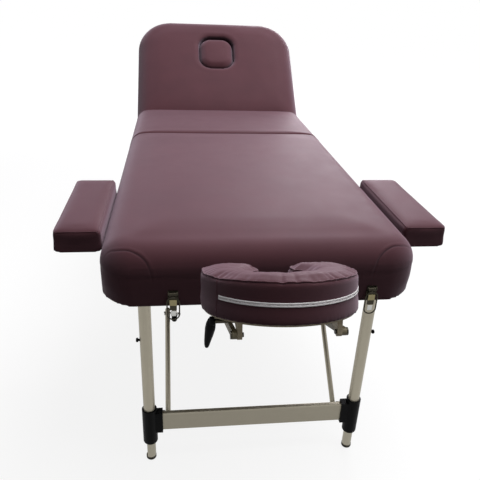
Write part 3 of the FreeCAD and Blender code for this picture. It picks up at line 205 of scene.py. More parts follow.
def moulded(name, colour, rough=(0.34, 0.52), grain=1400.0, depth=0.12, gloss=0.08):
    """Moulded plastic or rubber: fine spark texture, scuffs and paler worn edges."""
    material, tree, shader = graph(name)
    sparks = noise(tree, coords(tree), scale=grain, detail=2.0, rough=0.7)
    scuffs = noise(tree, coords(tree, (0.004, 0.02, 0.02)), detail=6.0, rough=0.7)
    scuffed = ramp(tree, scuffs, 0.0, 1.0, start=0.35, end=0.75)
    shade = mix(tree, scuffed, colour, times(colour, 1.8, lift=0.002))
    worn = product(tree, edge_wear_and_highlight(tree, 0.8), scuffs)
    shade = mix(tree, worn, shade, times(colour, 2.5, lift=0.03))
    set_inputs(tree, shader, {"Base Color": shade, "Specular IOR Level": gloss,
                              "Roughness": ramp(tree, scuffs, *rough)})
    bump(tree, shader, sparks, strength=depth, distance=FINE_BUMP)
    return material


def plywood(name, pale, dark, turn=(0, 0, 0)):
    """Pale plywood: long grain on its faces and thin plies on its edges."""
    material, tree, shader = graph(name)
    flat = coords(tree, (0.012, 0.16, 0.0026), turn)
    bend = noise(tree, flat, scale=0.7, detail=2.0)
    bent = put(tree, "VectorMath", {0: flat, 1: bend}, operation="ADD").outputs[0]
    rings = put(tree, "TexWave", {"Vector": bent, "Scale": 0.6, "Distortion": 3.0, "Detail": 3.0},
                bands_direction="X").outputs[0]
    fibre = noise(tree, coords(tree, (0.0007, 0.03, 0.0026), turn), detail=4.0, rough=0.7)
    layers = coords(tree, (PLY, PLY, PLY), turn)
    plies = put(tree, "TexWave", {"Vector": layers, "Scale": 0.32, "Distortion": 0.4},
                bands_direction="Z").outputs[0]
    shade = mix(tree, ramp(tree, rings, 0.0, 0.35, start=0.2, end=0.9), pale, dark)
    edges = ramp(tree, plies, 0.0, 0.25, start=0.35, end=0.65)
    shade = mix(tree, edges, shade, times(dark, 0.7))
    threads = ramp(tree, fibre, 0.0, 0.4, start=0.4, end=0.8)
    shade = mix(tree, threads, shade, times(dark, 0.6))
    set_inputs(tree, shader, {"Base Color": shade, "Roughness": ramp(tree, fibre, 0.42, 0.62)})
    bump(tree, shader, fibre, strength=0.15, distance=COARSE_BUMP)
    return material


def woven(name, colour, pitch):
    """Zip tape: a close weave in two directions."""
    material, tree, shader = graph(name)
    place = coords(tree, (pitch, pitch, pitch))
    warp, weft = [put(tree, "TexWave", {"Vector": place, "Scale": 0.5, "Distortion": 0.6},
                      bands_direction=axis).outputs[0] for axis in "XZ"]
    weave = product(tree, warp, weft)
    grime = noise(tree, coords(tree), scale=60.0, detail=5.0, rough=0.6)
    shade = mix(tree, ramp(tree, weave, 0.0, 0.5), times(colour, 0.85), colour)
    dirt = ramp(tree, grime, 0.0, 0.2, start=0.4, end=0.9)
    shade = mix(tree, dirt, shade, times(colour, 0.55))
    set_inputs(tree, shader, {"Base Color": shade, "Roughness": ramp(tree, grime, 0.34, 0.5),
                              "Specular IOR Level": 1.0, "Coat Weight": 0.6})
    bump(tree, shader, weave, strength=0.3, distance=COARSE_BUMP)
    return material


CHAMPAGNE = (0.32, 0.293, 0.232)
PALE_WOOD = (0.58, 0.48, 0.32)
DARK_WOOD = (0.44, 0.34, 0.20)
BACK = -math.radians(JOINTS["backrest_lift"]["range_deg"][0])
CRADLE_TILT = math.radians(19.6)
SIDEWAYS = (0, math.pi / 2, 0)
LENGTHWAYS = (math.pi / 2, 0, 0)

VINYL = vinyl("burgundy_vinyl", (0.068, 0.019, 0.023), (0.080, 0.023, 0.028), rough=(0.46, 0.54))
ALU_UP = brushed("aluminium_upright", CHAMPAGNE)
# Painted shade: the crossbars and rails take darker copies of the champagne aluminium.
ALU_ACROSS_SHADED = brushed("aluminium_crossbar_shaded", times(CHAMPAGNE, 0.76), SIDEWAYS)
ALU_RAIL_SHADED = brushed("aluminium_rail_shaded", times(CHAMPAGNE, 0.95), LENGTHWAYS)
ALU_FOOT = brushed("aluminium_foot", (0.29, 0.27, 0.215), rough=(0.26, 0.42))
STEEL = brushed("plated_steel", (0.52, 0.52, 0.5), rough=(0.24, 0.42), along=0.01, across=0.001)
BRASS = brushed("latch_brass", (0.23, 0.20, 0.11), rough=(0.24, 0.44), along=0.008,
                across=0.0008)
BRONZE = brushed("dark_bronze", (0.038, 0.034, 0.025), rough=(0.3, 0.5), along=0.008,
                 across=0.0008)
PLASTIC = moulded("black_plastic", (0.0035, 0.0035, 0.004), gloss=0.05)
RUBBER = moulded("black_rubber", (0.009, 0.009, 0.0095), (0.62, 0.82), grain=900.0, depth=0.25)
GREY_RUBBER = moulded("grey_rubber", (0.17, 0.16, 0.135), (0.5, 0.7), grain=900.0, depth=0.2)
WOOD = plywood("plywood", PALE_WOOD, DARK_WOOD)
WOOD_TILTED = plywood("plywood_cradle", (0.70, 0.60, 0.42), (0.56, 0.45, 0.29),
                      (-CRADLE_TILT, 0, 0))
WOOD_RAISED = plywood("plywood_backrest", PALE_WOOD, DARK_WOOD, (BACK, 0, 0))
# Painted shade: the cradle arms take a darker, greyer copy of the plywood.
WOOD_ARMS_SHADED = plywood("plywood_arms_shaded", (0.25, 0.215, 0.13), (0.17, 0.135, 0.075))
# Painted shade: the armrest boards are near-black, standing for the dark under the pads.
WOOD_SHADE_BLACK = plywood("plywood_shade_black", (0.020, 0.013, 0.010), (0.012, 0.008, 0.006))
ZIP_TAPE = woven("zip_tape", (0.95, 0.92, 0.93), pitch=0.0016)
ZIP_TEETH = moulded("zip_teeth", (0.82, 0.78, 0.79), (0.3, 0.5), grain=700.0, depth=0.1)

BY_SLOT = {"aluminium": ALU_UP, "steel": STEEL, "latch_metal": BRASS, "black_plastic": PLASTIC,
           "black_rubber": RUBBER, "plywood": WOOD, "vinyl_pad": VINYL}
NODES_IN = {ALU_ACROSS_SHADED: "foot_crossbar head_crossbar", ALU_RAIL_SHADED: "foot_rails head_rails",
            STEEL: "sleeve_sockets head_sleeves cradle_rods", WOOD_TILTED: "cradle_platform",
            WOOD_ARMS_SHADED: "cradle_arms", WOOD_RAISED: "backrest_deck",
            WOOD_SHADE_BLACK: "armrest_base_left armrest_base_right",
            BRONZE: "cradle_bolts latch_plates latch_left latch_right"}
BY_NODE = {node: material for material, names in NODES_IN.items() for node in names.split()}


def wear(obj, material):
    obj.data.materials.clear()
    obj.data.materials.append(material)


def dress_nodes():
    """Gives every CAD piece its material."""
    for row in frame["record"]["subparts"]:
        node = row["node"]
        material = BY_NODE.get(node, BY_SLOT[row["material_slot"]])
        if "inner_leg" in node:
            material = ALU_FOOT
        elif "leg_tip" in node:
            material = GREY_RUBBER
        obj = NODES[node]
        if not obj.material_slots:
            obj.data.materials.append(material)
        for slot in obj.material_slots:
            slot.material = material


# Mesh helpers
PULL = 0.5
CURVE_STEPS = 16
LEAST_STEP = 1e-5
POINTS_AT_ONCE = 2000


def new_object(name, mesh):
    obj = bpy.data.objects.new(name, mesh)
    bpy.context.scene.collection.objects.link(obj)
    return obj


def built(name, verts, faces):
    mesh = bpy.data.meshes.new(name)
    mesh.from_pydata([tuple(v) for v in verts], [], faces)
    return new_object(name, mesh)


def apply_modifiers(obj):
    bpy.context.view_layer.update()
    shown = obj.evaluated_get(bpy.context.evaluated_depsgraph_get())
    mesh = bpy.data.meshes.new_from_object(shown)
    obj.modifiers.clear()
    old = obj.data
    obj.data = mesh
    bpy.data.meshes.remove(old)


def vectors(rows, key):
    flat = np.empty(len(rows) * 3)
    rows.foreach_get(key, flat)
    return flat.reshape(-1, 3)


def points_of(obj):
    return vectors(obj.data.vertices, "co")


def normals_of(obj):
    return vectors(obj.data.vertex_normals, "vector")


def set_points(obj, points):
    obj.data.vertices.foreach_set("co", np.ascontiguousarray(points, float).ravel())
    obj.data.update()


def smooth_shade(obj):
    obj.data.polygons.foreach_set("use_smooth", [True] * len(obj.data.polygons))


def step(value, low, high):
    """A smooth step from 0 at low to 1 at high."""
    t = np.clip((np.asarray(value, float) - low) / (high - low), 0, 1)
    return t * t * (3 - 2 * t)


def smoothed(obj, values, share, rounds):
    """Laplacian smoothing of a vector at each point, by the point's share."""
    edges = np.empty(len(obj.data.edges) * 2, int)
    obj.data.edges.foreach_get("vertices", edges)
    first, second = edges.reshape(-1, 2).T
    start, end = np.concatenate([first, second]), np.concatenate([second, first])
    count = np.bincount(start, minlength=len(values))
    values = values.copy()
    for _ in range(rounds):
        for axis in range(3):
            mean = np.bincount(start, weights=values[end, axis], minlength=len(values)) / count
            values[:, axis] += (mean - values[:, axis]) * PULL * share
    return values


def relax(obj, share, rounds):
    set_points(obj, smoothed(obj, points_of(obj), share, rounds))


def shell(node, name, voxel):
    """An even closed mesh on the surface of a CAD solid."""
    obj = new_object(name, NODES[node].data.copy())
    remesh = obj.modifiers.new("even", "REMESH")
    remesh.mode = "VOXEL"
    remesh.voxel_size = voxel
    fit = obj.modifiers.new("fit", "SHRINKWRAP")
    fit.target = NODES[node]
    fit.wrap_method = "NEAREST_SURFACEPOINT"
    apply_modifiers(obj)
    wear(obj, VINYL)
    smooth_shade(obj)
    return obj


def subdivide(obj):
    level = obj.modifiers.new("finer", "SUBSURF")
    level.levels = 1
    apply_modifiers(obj)
    smooth_shade(obj)


def tree_of(obj):
    return BVHTree.FromPolygons([v.co for v in obj.data.vertices],
                                [p.vertices for p in obj.data.polygons])


def laid(tree, points):
    """Points put on a surface, with the surface's normals there."""
    hits = [tree.find_nearest(Vector(p)) for p in points]
    return np.array([h[0] for h in hits]), np.array([h[1] for h in hits])


def even_path(points, spacing, closed=False):
    """A Catmull-Rom curve through the points, resampled at an even spacing."""
    points = [np.asarray(p, float) for p in points]
    if closed:
        knots = [points[-1]] + points + points[:2]
    else:
        knots = [2 * points[0] - points[1]] + points + [2 * points[-1] - points[-2]]
    fine = []
    for a, b, c, d in zip(knots, knots[1:], knots[2:], knots[3:]):
        for t in np.linspace(0, 1, CURVE_STEPS, endpoint=False):
            fine.append(0.5 * (2 * b + (c - a) * t + (2 * a - 5 * b + 4 * c - d) * t ** 2
                               + (3 * b - a - 3 * c + d) * t ** 3))
    fine.append(points[0] if closed else points[-1])
    fine = np.array(fine)
    run = np.concatenate([[0], np.cumsum(np.linalg.norm(np.diff(fine, axis=0), axis=1))])
    count = max(int(round(run[-1] / spacing)), 2)
    where = np.linspace(0, run[-1], count, endpoint=not closed)
    return np.array([np.interp(where, run, fine[:, k]) for k in range(3)]).T


def tangents(path, closed):
    if closed:
        along = np.roll(path, -1, 0) - np.roll(path, 1, 0)
    else:
        along = np.gradient(path, axis=0)
    return along / np.linalg.norm(along, axis=1, keepdims=True)


def sweep(name, path, outward, profile, closed=False, sizes=None):
    """A strip or tube with a closed profile: (across, outward) pairs, scaled by the sizes."""
    sizes = np.ones(len(path)) if sizes is None else sizes
    kept = np.append(True, np.linalg.norm(np.diff(path, axis=0), axis=1) > LEAST_STEP)
    path, outward, sizes = path[kept], outward[kept], sizes[kept]
    along = tangents(path, closed)
    outward = outward - along * np.sum(outward * along, axis=1, keepdims=True)
    outward /= np.linalg.norm(outward, axis=1, keepdims=True)
    across = np.cross(outward, along)
    verts = []
    for point, out, side, size in zip(path, outward, across, sizes):
        verts += [point + (side * u + out * h) * size for u, h in profile]
    count = len(profile)
    rows = len(path) if closed else len(path) - 1
    faces = []
    for i in range(rows):
        j = (i + 1) % len(path)
        for k in range(count):
            m = (k + 1) % count
            faces.append((i * count + k, j * count + k, j * count + m, i * count + m))
    if not closed:
        faces.append(tuple(range(count)))
        faces.append(tuple(range(len(verts) - 1, len(verts) - count - 1, -1)))
    obj = built(name, verts, faces)
    shape = bmesh.new()
    shape.from_mesh(obj.data)
    bmesh.ops.recalc_face_normals(shape, faces=shape.faces)
    shape.to_mesh(obj.data)
    shape.free()
    smooth_shade(obj)
    return obj


def ring(radius, sides=10, lift=0.0):
    """A round profile for sweep()."""
    turns = np.arange(sides) * 2 * math.pi / sides
    return [(radius * math.cos(a), lift + radius * math.sin(a)) for a in turns]


def turn_points(x, y, radius, start, end, count):
    """Points on an arc, with its angles in degrees."""
    angles = np.radians(np.linspace(start, end, count))
    return [(x + radius * math.cos(a), y + radius * math.sin(a)) for a in angles]


def path_distance(points, path, reach):
    """How far each point is from a path, and the nearest path point; far ones are infinite."""
    gap = np.full(len(points), np.inf)
    which = np.zeros(len(points), int)
    low, high = path.min(0) - reach, path.max(0) + reach
    near = np.flatnonzero(np.all((points > low) & (points < high), axis=1))
    for part in np.array_split(near, max(1, len(near) // POINTS_AT_ONCE)):
        if len(part):
            apart = np.linalg.norm(points[part, None] - path[None], axis=2)
            which[part] = apart.argmin(1)
            gap[part] = apart.min(1)
    return gap, which


def refine(obj, path, reach, cuts):
    """Finer faces along a path."""
    shape = bmesh.new()
    shape.from_mesh(obj.data)
    shape.verts.ensure_lookup_table()
    close = path_distance(points_of(obj), path, reach)[0] < reach
    edges = [e for e in shape.edges if close[e.verts[0].index] and close[e.verts[1].index]]
    bmesh.ops.subdivide_edges(shape, edges=edges, cuts=cuts, use_grid_fill=True, smooth=0.0)
    shape.to_mesh(obj.data)
    shape.free()
    smooth_shade(obj)


# A seam's reach, its lip's place and width and its line of painted shade, in widths of the groove
SEAM_REACH = 6
LIP_AWAY = 2.6
LIP_WIDTH = 1.5
SEAM_SHADE = 0.7


def groove(obj, path, width, depth, lip):
    """Presses a seam into a pad, with a low lip on one side; it fades at both ends."""
    points, normals = points_of(obj), normals_of(obj)
    gap, which = path_distance(points, path, SEAM_REACH * width)
    near = np.isfinite(gap)
    along = tangents(path, False)[which]
    side = np.sum(np.cross(normals, along) * (points - path[which]), axis=1)
    gap = np.where(near, gap, 1.0)
    near = near * np.sin(math.pi * which / (len(path) - 1))
    sink = depth * np.exp(-(gap / width) ** 2)
    rise = lip * np.exp(-((side - LIP_AWAY * width) / (LIP_WIDTH * width)) ** 2)
    rise = rise * (gap < SEAM_REACH * width)
    set_points(obj, points + normals * (near * (rise - sink))[:, None])
    # Painted shade along the bottom of the groove.
    paint_seam_shade(obj, np.exp(-(gap / (SEAM_SHADE * width)) ** 2) * near)


def paint_seam_shade(obj, amount):
    """Darkens the vinyl by an amount at each point, as painted shade in seams and gaps."""
    layer = obj.data.attributes.get("seam") or obj.data.attributes.new("seam", "FLOAT", "POINT")
    old = np.empty(len(amount))
    layer.data.foreach_get("value", old)
    layer.data.foreach_set("value", np.maximum(old, amount))


def soft(obj, body, node):
    """Puts a cushion on its body and hides the CAD solid that it stands for."""
    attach(obj, body)
    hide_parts(node)


def trim(obj, body, material):
    """Gives a fitting that only the scene has its material and puts it on its body."""
    wear(obj, material)
    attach(obj, body)


# Cushions
# How free each point of the mesh is, the most it swells, how far inside it starts, and the
# rounds of smoothing for its swell and for its shape
Cushion = namedtuple("Cushion", "obj free cap inset taut rounds")
SIM_FRAMES = 20
SLACK = 0.06
HELD_LEVELS = 4
STILL = 1e-12
CLOTH = {"quality": 4, "mass": 0.3, "tension_stiffness": 18, "compression_stiffness": 18,
         "shear_stiffness": 8, "bending_stiffness": 1.5, "use_pressure": True,
         "uniform_pressure_force": 4.0, "vertex_group_mass": "held"}


def inflate(cushions):
    """Blows the cushions up with cloth pressure, all side by side."""
    starts = []
    for row in cushions:
        outward = normals_of(row.obj)
        start = points_of(row.obj) - outward * (row.free * row.inset)[:, None]
        set_points(row.obj, start)
        starts.append((start, outward))
        held = row.obj.vertex_groups.new(name="held")
        level = np.round((1 - row.free) * HELD_LEVELS).astype(int)
        for value in range(1, HELD_LEVELS + 1):
            held.add(np.flatnonzero(level == value).tolist(), value / HELD_LEVELS, "REPLACE")
        cloth = row.obj.modifiers.new("cloth", "CLOTH")
        for key, value in CLOTH.items():
            setattr(cloth.settings, key, value)
        cloth.settings.effector_weights.gravity = 0
        cloth.collision_settings.use_collision = False
        cloth.point_cache.frame_start = 1
        cloth.point_cache.frame_end = SIM_FRAMES
    scene = bpy.context.scene
    for number in range(1, SIM_FRAMES + 1):
        scene.frame_set(number)
    for row, (start, outward) in zip(cushions, starts):
        apply_modifiers(row.obj)
        row.obj.vertex_groups.clear()
        move = points_of(row.obj) - start
        inward = np.minimum(np.sum(move * outward, axis=1), 0)
        move -= outward * (inward * (1 - SLACK))[:, None]
        length = np.linalg.norm(move, axis=1, keepdims=True) + STILL
        move *= row.cap / length * np.tanh(length / row.cap) * row.free[:, None]
        set_points(row.obj, start + smoothed(row.obj, move, 1.0, row.taut))
    scene.frame_set(1)


def ripples(points, size, depth, seed, waves=7):
    """Slow, shallow waves like foam under a stretched cover."""
    rng = np.random.RandomState(seed)
    total = np.zeros(len(points))
    for _ in range(waves):
        heading = rng.uniform(0, 2 * math.pi)
        length = size * rng.uniform(0.6, 1.6)
        phase = rng.uniform(0, 2 * math.pi)
        total += np.sin((points[:, 0] * math.cos(heading) + points[:, 1] * math.sin(heading))
                        * 2 * math.pi / length + phase)
    return depth * total / waves


# A cover's lip round the board below fades over this height, and a rounded rim by this power
LIP_RISE = 0.014
RIM_POWER = 2.2

# Table pads
PAD_VOXEL = 0.0055
SMALL_VOXEL = 0.004
HINGE = Vector(JOINTS["backrest_lift"]["pos_m"])
FOLD_Y = JOINTS["table_fold"]["pos_m"][1]
DECK_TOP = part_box("foot_deck")[1].z
FREE_FROM = DECK_TOP + 0.008
FREE_TO = DECK_TOP + 0.045
TOP_FROM = FREE_TO - 0.01
TOP_TO = FREE_TO + 0.02
FOLD_HOLD = (0.004, 0.05)
STRIP_HOLD = (0.003, 0.04)
BACK_HOLD = (0.006, 0.05)
HOLE_HOLD = (0.006, 0.04)
PLUG_HOLD = (0.004, 0.02)
RIPPLE_SIZE = 0.35
RIPPLE_DEPTH = 0.0009


def flat_backrest(points):
    """Points of the raised backrest turned back to where they lie with it flat."""
    turn = np.array(Matrix.Rotation(-BACK, 3, "X"))
    return (points - np.array(HINGE)) @ turn.T + np.array(HINGE)


def face_centre():
    """Where the face plug's middle lies along the table with the backrest flat."""
    low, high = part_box("face_plug")
    middle = np.array([[0, (low.y + high.y) / 2, (low.z + high.z) / 2]])
    return flat_backrest(middle)[0][1]


FACE_HALF = Vector((0.0765, 0.0865))
FACE_ROUND = 0.053
FACE_Y = face_centre()


def hole_distance(flat):
    """How far points lie outside the face hole's outline, in plan; inside is negative."""
    x = np.abs(flat[:, 0]) - (FACE_HALF.x - FACE_ROUND)
    y = np.abs(flat[:, 1] - FACE_Y) - (FACE_HALF.y - FACE_ROUND)
    outside = np.hypot(np.maximum(x, 0), np.maximum(y, 0))
    return outside + np.minimum(np.maximum(x, y), 0) - FACE_ROUND


def table_pads():
    """The foot, strip and backrest cushions."""
    foot = shell("foot_pad", "foot_cushion", PAD_VOXEL)
    strip = shell("mid_pad", "strip_cushion", PAD_VOXEL)
    back = shell("backrest_pad", "backrest_cushion", PAD_VOXEL)
    strip_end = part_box("mid_pad")[1].y
    rows = []
    for obj in (foot, strip, back):
        flat = flat_backrest(points_of(obj)) if obj is back else points_of(obj)
        y = flat[:, 1]
        free = step(flat[:, 2], FREE_FROM, FREE_TO)
        if obj is foot:
            free *= step(FOLD_Y - y, *FOLD_HOLD)
        elif obj is strip:
            free *= step(y - FOLD_Y, *FOLD_HOLD) * step(strip_end - y, *STRIP_HOLD)
        else:
            free *= step(y - strip_end, *BACK_HOLD)
            free *= step(hole_distance(flat), *HOLE_HOLD)
        rows.append(Cushion(obj, free, cap=0.004, inset=0.0012, taut=60, rounds=6))
    return rows


def face_plug():
    pad = shell("face_plug", "plug_cushion", SMALL_VOXEL)
    flat = flat_backrest(points_of(pad))
    free = step(flat[:, 2], FREE_TO, TOP_TO) * step(-hole_distance(flat), *PLUG_HOLD)
    return Cushion(pad, free, cap=0.003, inset=0.0015, taut=0, rounds=3)


def ripple_top(pad, seed):
    points = points_of(pad)
    top = step(points[:, 2], FREE_TO, TOP_TO)
    points[:, 2] += ripples(points, RIPPLE_SIZE, RIPPLE_DEPTH, seed) * top
    set_points(pad, points)


BACK_TURN = np.array(Matrix.Rotation(BACK, 3, "X"))
BACK_RISE = 0.006
BACK_REACH = 0.15
HOLE_RIM = (0.026, 0.011)
PLUG_RIM = (0.034, 0.015)
PLUG_SHRINK = 0.045
GAP_SHADE = 0.005


def crown_backrest(back):
    """Fills the backrest out towards its middle."""
    points = points_of(back)
    flat = flat_backrest(points)
    low, high = flat.min(axis=0), flat.max(axis=0)
    inside = np.minimum(flat[:, :2] - low[:2], high[:2] - flat[:, :2]).min(axis=1)
    top = step(flat[:, 2], TOP_FROM, TOP_TO)
    rise = BACK_RISE * (1 - (1 - np.clip(inside / BACK_REACH, 0, 1)) ** 2) * top
    set_points(back, points + BACK_TURN[:, 2] * rise[:, None])


def sink_face_hole(back, plug_pad):
    """Rounds the rims of the face hole and its plug, and paints shade into the gap between them.
    """
    for obj, sign, (reach, drop) in ((back, 1, HOLE_RIM), (plug_pad, -1, PLUG_RIM)):
        points = points_of(obj)
        flat = flat_backrest(points)
        gap = np.maximum(sign * hole_distance(flat), 0)
        top = step(flat[:, 2], TOP_FROM, TOP_TO)
        fall = drop * (1 - np.clip(gap / reach, 0, 1)) ** RIM_POWER * top
        points -= BACK_TURN[:, 2] * fall[:, None]
        if obj is plug_pad:
            points += BACK_TURN[:, 2] * (BACK_RISE * top)[:, None]
            points[:, 0] -= flat[:, 0] * PLUG_SHRINK * top
            points -= BACK_TURN[:, 1] * ((flat[:, 1] - FACE_Y) * PLUG_SHRINK * top)[:, None]
        set_points(obj, points)
        # Painted shade in the gap round the plug.
        paint_seam_shade(obj, np.exp(-(gap / GAP_SHADE) ** 2))


HALF_WIDTH = 0.35
CORNER_R = 0.076
SKIRT_LOW = 0.4835
TUCK = 0.0045
TUCK_RISE = 0.045
TUCK_BLEND = 0.7
CORNER_SEAM = [(0.343, 0.040, 0.585), (0.330, 0.034, 0.602), (0.307, 0.026, 0.609),
               (0.284, 0.022, 0.609), (0.262, 0.010, 0.604), (0.246, 0.002, 0.585),
               (0.238, 0.0, 0.560), (0.236, 0.0, 0.535)]


def tuck_corners(foot):
    """Draws the skirt's lower edge in round the near corners."""
    points = points_of(foot)
    centre = np.array(station(HALF_WIDTH - CORNER_R, CORNER_R, 0))[:2]
    away = np.stack([np.abs(points[:, 0]) - centre[0], centre[1] - points[:, 1]], axis=1)
    low = 1 - step(points[:, 2], SKIRT_LOW, SKIRT_LOW + TUCK_RISE)
    inside = (away.min(axis=1) > 0) * low
    length = np.linalg.norm(away, axis=1) + TINY
    blend = step(np.minimum(away[:, 0], away[:, 1]) / length, 0.0, TUCK_BLEND) * inside * TUCK
    points[:, 0] -= np.sign(points[:, 0]) * away[:, 0] / length * blend
    points[:, 1] += away[:, 1] / length * blend
    set_points(foot, points)


def corner_seams(foot):
    """The sewn corner patches at the near end."""
    for side in (-1, 1):
        route = [station(side * x, y, z) for x, y, z in CORNER_SEAM]
        path = laid(tree_of(foot), even_path(route, spacing=0.003))[0]
        refine(foot, path, reach=0.016, cuts=3)
        path = even_path(path[::4], spacing=0.0012)
        if side > 0:
            path = path[::-1]
        groove(foot, path, width=0.0022, depth=0.0011, lip=0.0005)


# Face cradle
CRADLE_FRONT = (-0.285, 0.630)
CUSHION_R = 0.143
CUSHION_DEPTH = 0.228
CUSHION_T = 0.071
CUSHION_TAPER = math.tan(math.radians(2.3))
CUSHION_HOLD = (0.004, 0.02)
HOLE_R = 0.046
HOLE_ALONG = 0.086 + HOLE_R
MOUTH_HALF = 0.026
LOBE_R = 0.048
MOUTH_R = 0.024


def cradle_cushion():
    pad = shell("cradle_cushion", "cradle_pad", SMALL_VOXEL)
    free = step(cradle_local(points_of(pad))[:, 2], *CUSHION_HOLD)
    return Cushion(pad, free, cap=0.004, inset=0.002, taut=0, rounds=3)


def cradle_point(x, along, up):
    c, s = math.cos(CRADLE_TILT), math.sin(CRADLE_TILT)
    y, z = CRADLE_FRONT
    return station(x, y + along * c + up * s, z - along * s + up * c)


def cradle_local(points):
    """(x, along, up) of points, from the cushion's front bottom edge."""
    base = np.array(station(0, *CRADLE_FRONT))
    c, s = math.cos(CRADLE_TILT), math.sin(CRADLE_TILT)
    y, z = points[:, 1] - base[1], points[:, 2] - base[2]
    return np.stack([points[:, 0], y * c - z * s, y * s + z * c], axis=1)


def horseshoe(inset):
    """The cradle cushion's outline in plan, inset by a width."""
    outer, hole, gap = CUSHION_R - inset, HOLE_R + inset, MOUTH_HALF + inset
    lobe, mouth, back = LOBE_R - inset, MOUTH_R - inset, CUSHION_DEPTH - inset
    turn = math.degrees(math.acos(gap / hole))
    points = turn_points(0, CUSHION_R, outer, 180, 360, 36)
    points += turn_points(outer - lobe, back - lobe, lobe, 0, 90, 9)
    points += turn_points(gap + mouth, back - mouth, mouth, 90, 180, 5)
    points += turn_points(0, HOLE_ALONG, hole, turn, -180 - turn, 28)
    points += turn_points(-gap - mouth, back - mouth, mouth, 0, 90, 5)
    points += turn_points(-outer + lobe, back - lobe, lobe, 90, 180, 9)
    return unique(points)


def unique(points, least=0.002):
    """Points without those that nearly repeat the one before."""
    kept = [points[0]]
    for point in points[1:]:
        if math.dist(point, kept[-1]) > least:
            kept.append(point)
    if math.dist(kept[0], kept[-1]) < least:
        kept.pop()
    return kept


def plan_path(inset, spacing):
    return even_path([(x, y, 0) for x, y in horseshoe(inset)], spacing, True)


MOUTH_REACH = 0.034
MOUTH_FALL = 0.011
MOUTH_FROM, MOUTH_TO = CUSHION_T * 0.45, CUSHION_T * 0.9
CUSHION_LIP = 0.0042
CUSHION_LIP_BAND = (0.0035, 0.0075)
OUTLINE_REACH = 0.02
IN_PLAN = (1, 1, 0)


def round_cradle(pad):
    """Rounds the cradle's inner rim and draws its cover down round the panel's edge."""
    points = points_of(pad)
    local = cradle_local(points)
    x, along = np.abs(local[:, 0]), local[:, 1] - HOLE_ALONG
    gap = np.hypot(x, along) - HOLE_R
    gap = np.maximum(np.where(along > 0, np.minimum(gap, x - MOUTH_HALF), gap), 0)
    top = step(local[:, 2] + local[:, 1] * CUSHION_TAPER, MOUTH_FROM, MOUTH_TO)
    fall = MOUTH_FALL * (1 - np.clip(gap / MOUTH_REACH, 0, 1)) ** RIM_POWER * top
    edge = path_distance(local * IN_PLAN, plan_path(0, 0.002), OUTLINE_REACH)[0]
    rim = 1 - step(np.minimum(edge, OUTLINE_REACH), *CUSHION_LIP_BAND)
    fall += CUSHION_LIP * rim * (1 - step(local[:, 2], 0.0, LIP_RISE))
    up = np.array((0, math.sin(CRADLE_TILT), math.cos(CRADLE_TILT)))
    set_points(pad, points - up * fall[:, None])


RIM_INSET = 0.004
RIM_UP = 0.067
RIM_SPACING = 0.001
PUCKER_SEED = 11
PUCKER_WIDTH = (0.003, 0.006)
PUCKER_STRENGTH = (0.25, 1.0)
PUCKER_APART = (0.011, 0.03)
PUCKER_REACH = 0.026
PUCKER_DEPTH = 0.0034
PUCKER_TOP = (CUSHION_T - 0.012, CUSHION_T - 0.002)
SAG_SIZE = 0.07
SAG_DEPTH = 0.0022
SAG_SEED = 5


def pucker_cradle(pad):
    """Gathers along the rim of the cradle's top panel."""
    points, normals = points_of(pad), normals_of(pad)
    local = cradle_local(points)
    rim = plan_path(RIM_INSET, RIM_SPACING)
    gap, which = path_distance(local * IN_PLAN, rim, 0.09)
    rng = np.random.RandomState(PUCKER_SEED)
    wave = np.zeros(len(rim))
    run = np.arange(len(rim)) * RIM_SPACING
    total = run[-1]
    place = 0.0
    while place < total:
        width = rng.uniform(*PUCKER_WIDTH)
        reach = np.abs(run - place)
        reach = np.minimum(reach, total - reach)
        wave += rng.uniform(*PUCKER_STRENGTH) * np.exp(-(reach / width) ** 2)
        place += rng.uniform(*PUCKER_APART)
    top = step(local[:, 2] + local[:, 1] * CUSHION_TAPER, *PUCKER_TOP)
    fade = np.exp(-np.where(np.isfinite(gap), gap, 1) / PUCKER_REACH)
    sink = PUCKER_DEPTH * wave[which] * fade * top
    sag = SAG_DEPTH * ripples(local, SAG_SIZE, 1.0, SAG_SEED) * top
    set_points(pad, points - normals * (sink + sag)[:, None])


ZIP_UP = 0.029
ZIP_RISE = 0.006
ZIP_START, ZIP_END = 214, 360
ZIP_STEPS = 40
ZIP_TAIL = 0.012
ZIP_SPACING = 0.0025
ZIP_PROFILE = [(u * MM, h * MM) for u, h in (
    (-3.6, -0.8), (3.6, -0.8), (3.6, 0.3), (3.1, 0.9), (2.0, 1.1), (1.3, 0.9), (1.0, 0.3),
    (-1.0, 0.3), (-1.3, 0.9), (-2.0, 1.1), (-3.1, 0.9), (-3.6, 0.3))]
SIDE_SEAM_TURN = ZIP_START - 1.8
SIDE_SEAM_UPS = (0.004, 0.02, 0.035, 0.05, 0.062)
TOOTH_PITCH = 0.0011
TOOTH_SHIFT = 0.35
TOOTH_HALF = 0.36
TOOTH_LEVELS = ((0.2, 0.75), (0.85, 0.5))
BOX_CORNERS = ((-1, -1), (1, -1), (1, 1), (-1, 1))
BOX_FACES = ((3, 2, 1, 0), (4, 5, 6, 7), (0, 1, 5, 4), (1, 2, 6, 5), (2, 3, 7, 6), (3, 0, 4, 7))


def zip_teeth(name, path, surface):
    """Two rows of small coil teeth that mesh along the middle of the zip."""
    along = tangents(path, False)
    out = laid(surface, path)[1]
    verts, faces = [], []
    for index in range(len(path)):
        shift = TOOTH_SHIFT * MM if index % 2 else -TOOTH_SHIFT * MM
        across = np.cross(out[index], along[index])
        base = path[index] + across * shift
        corner = len(verts)
        for h, w in TOOTH_LEVELS:
            for u, a in BOX_CORNERS:
                verts.append(base + across * u * w * MM + along[index] * a * TOOTH_HALF * MM
                             + out[index] * h * MM)
        faces += [tuple(corner + k for k in quad) for quad in BOX_FACES]
    return built(name, verts, faces)


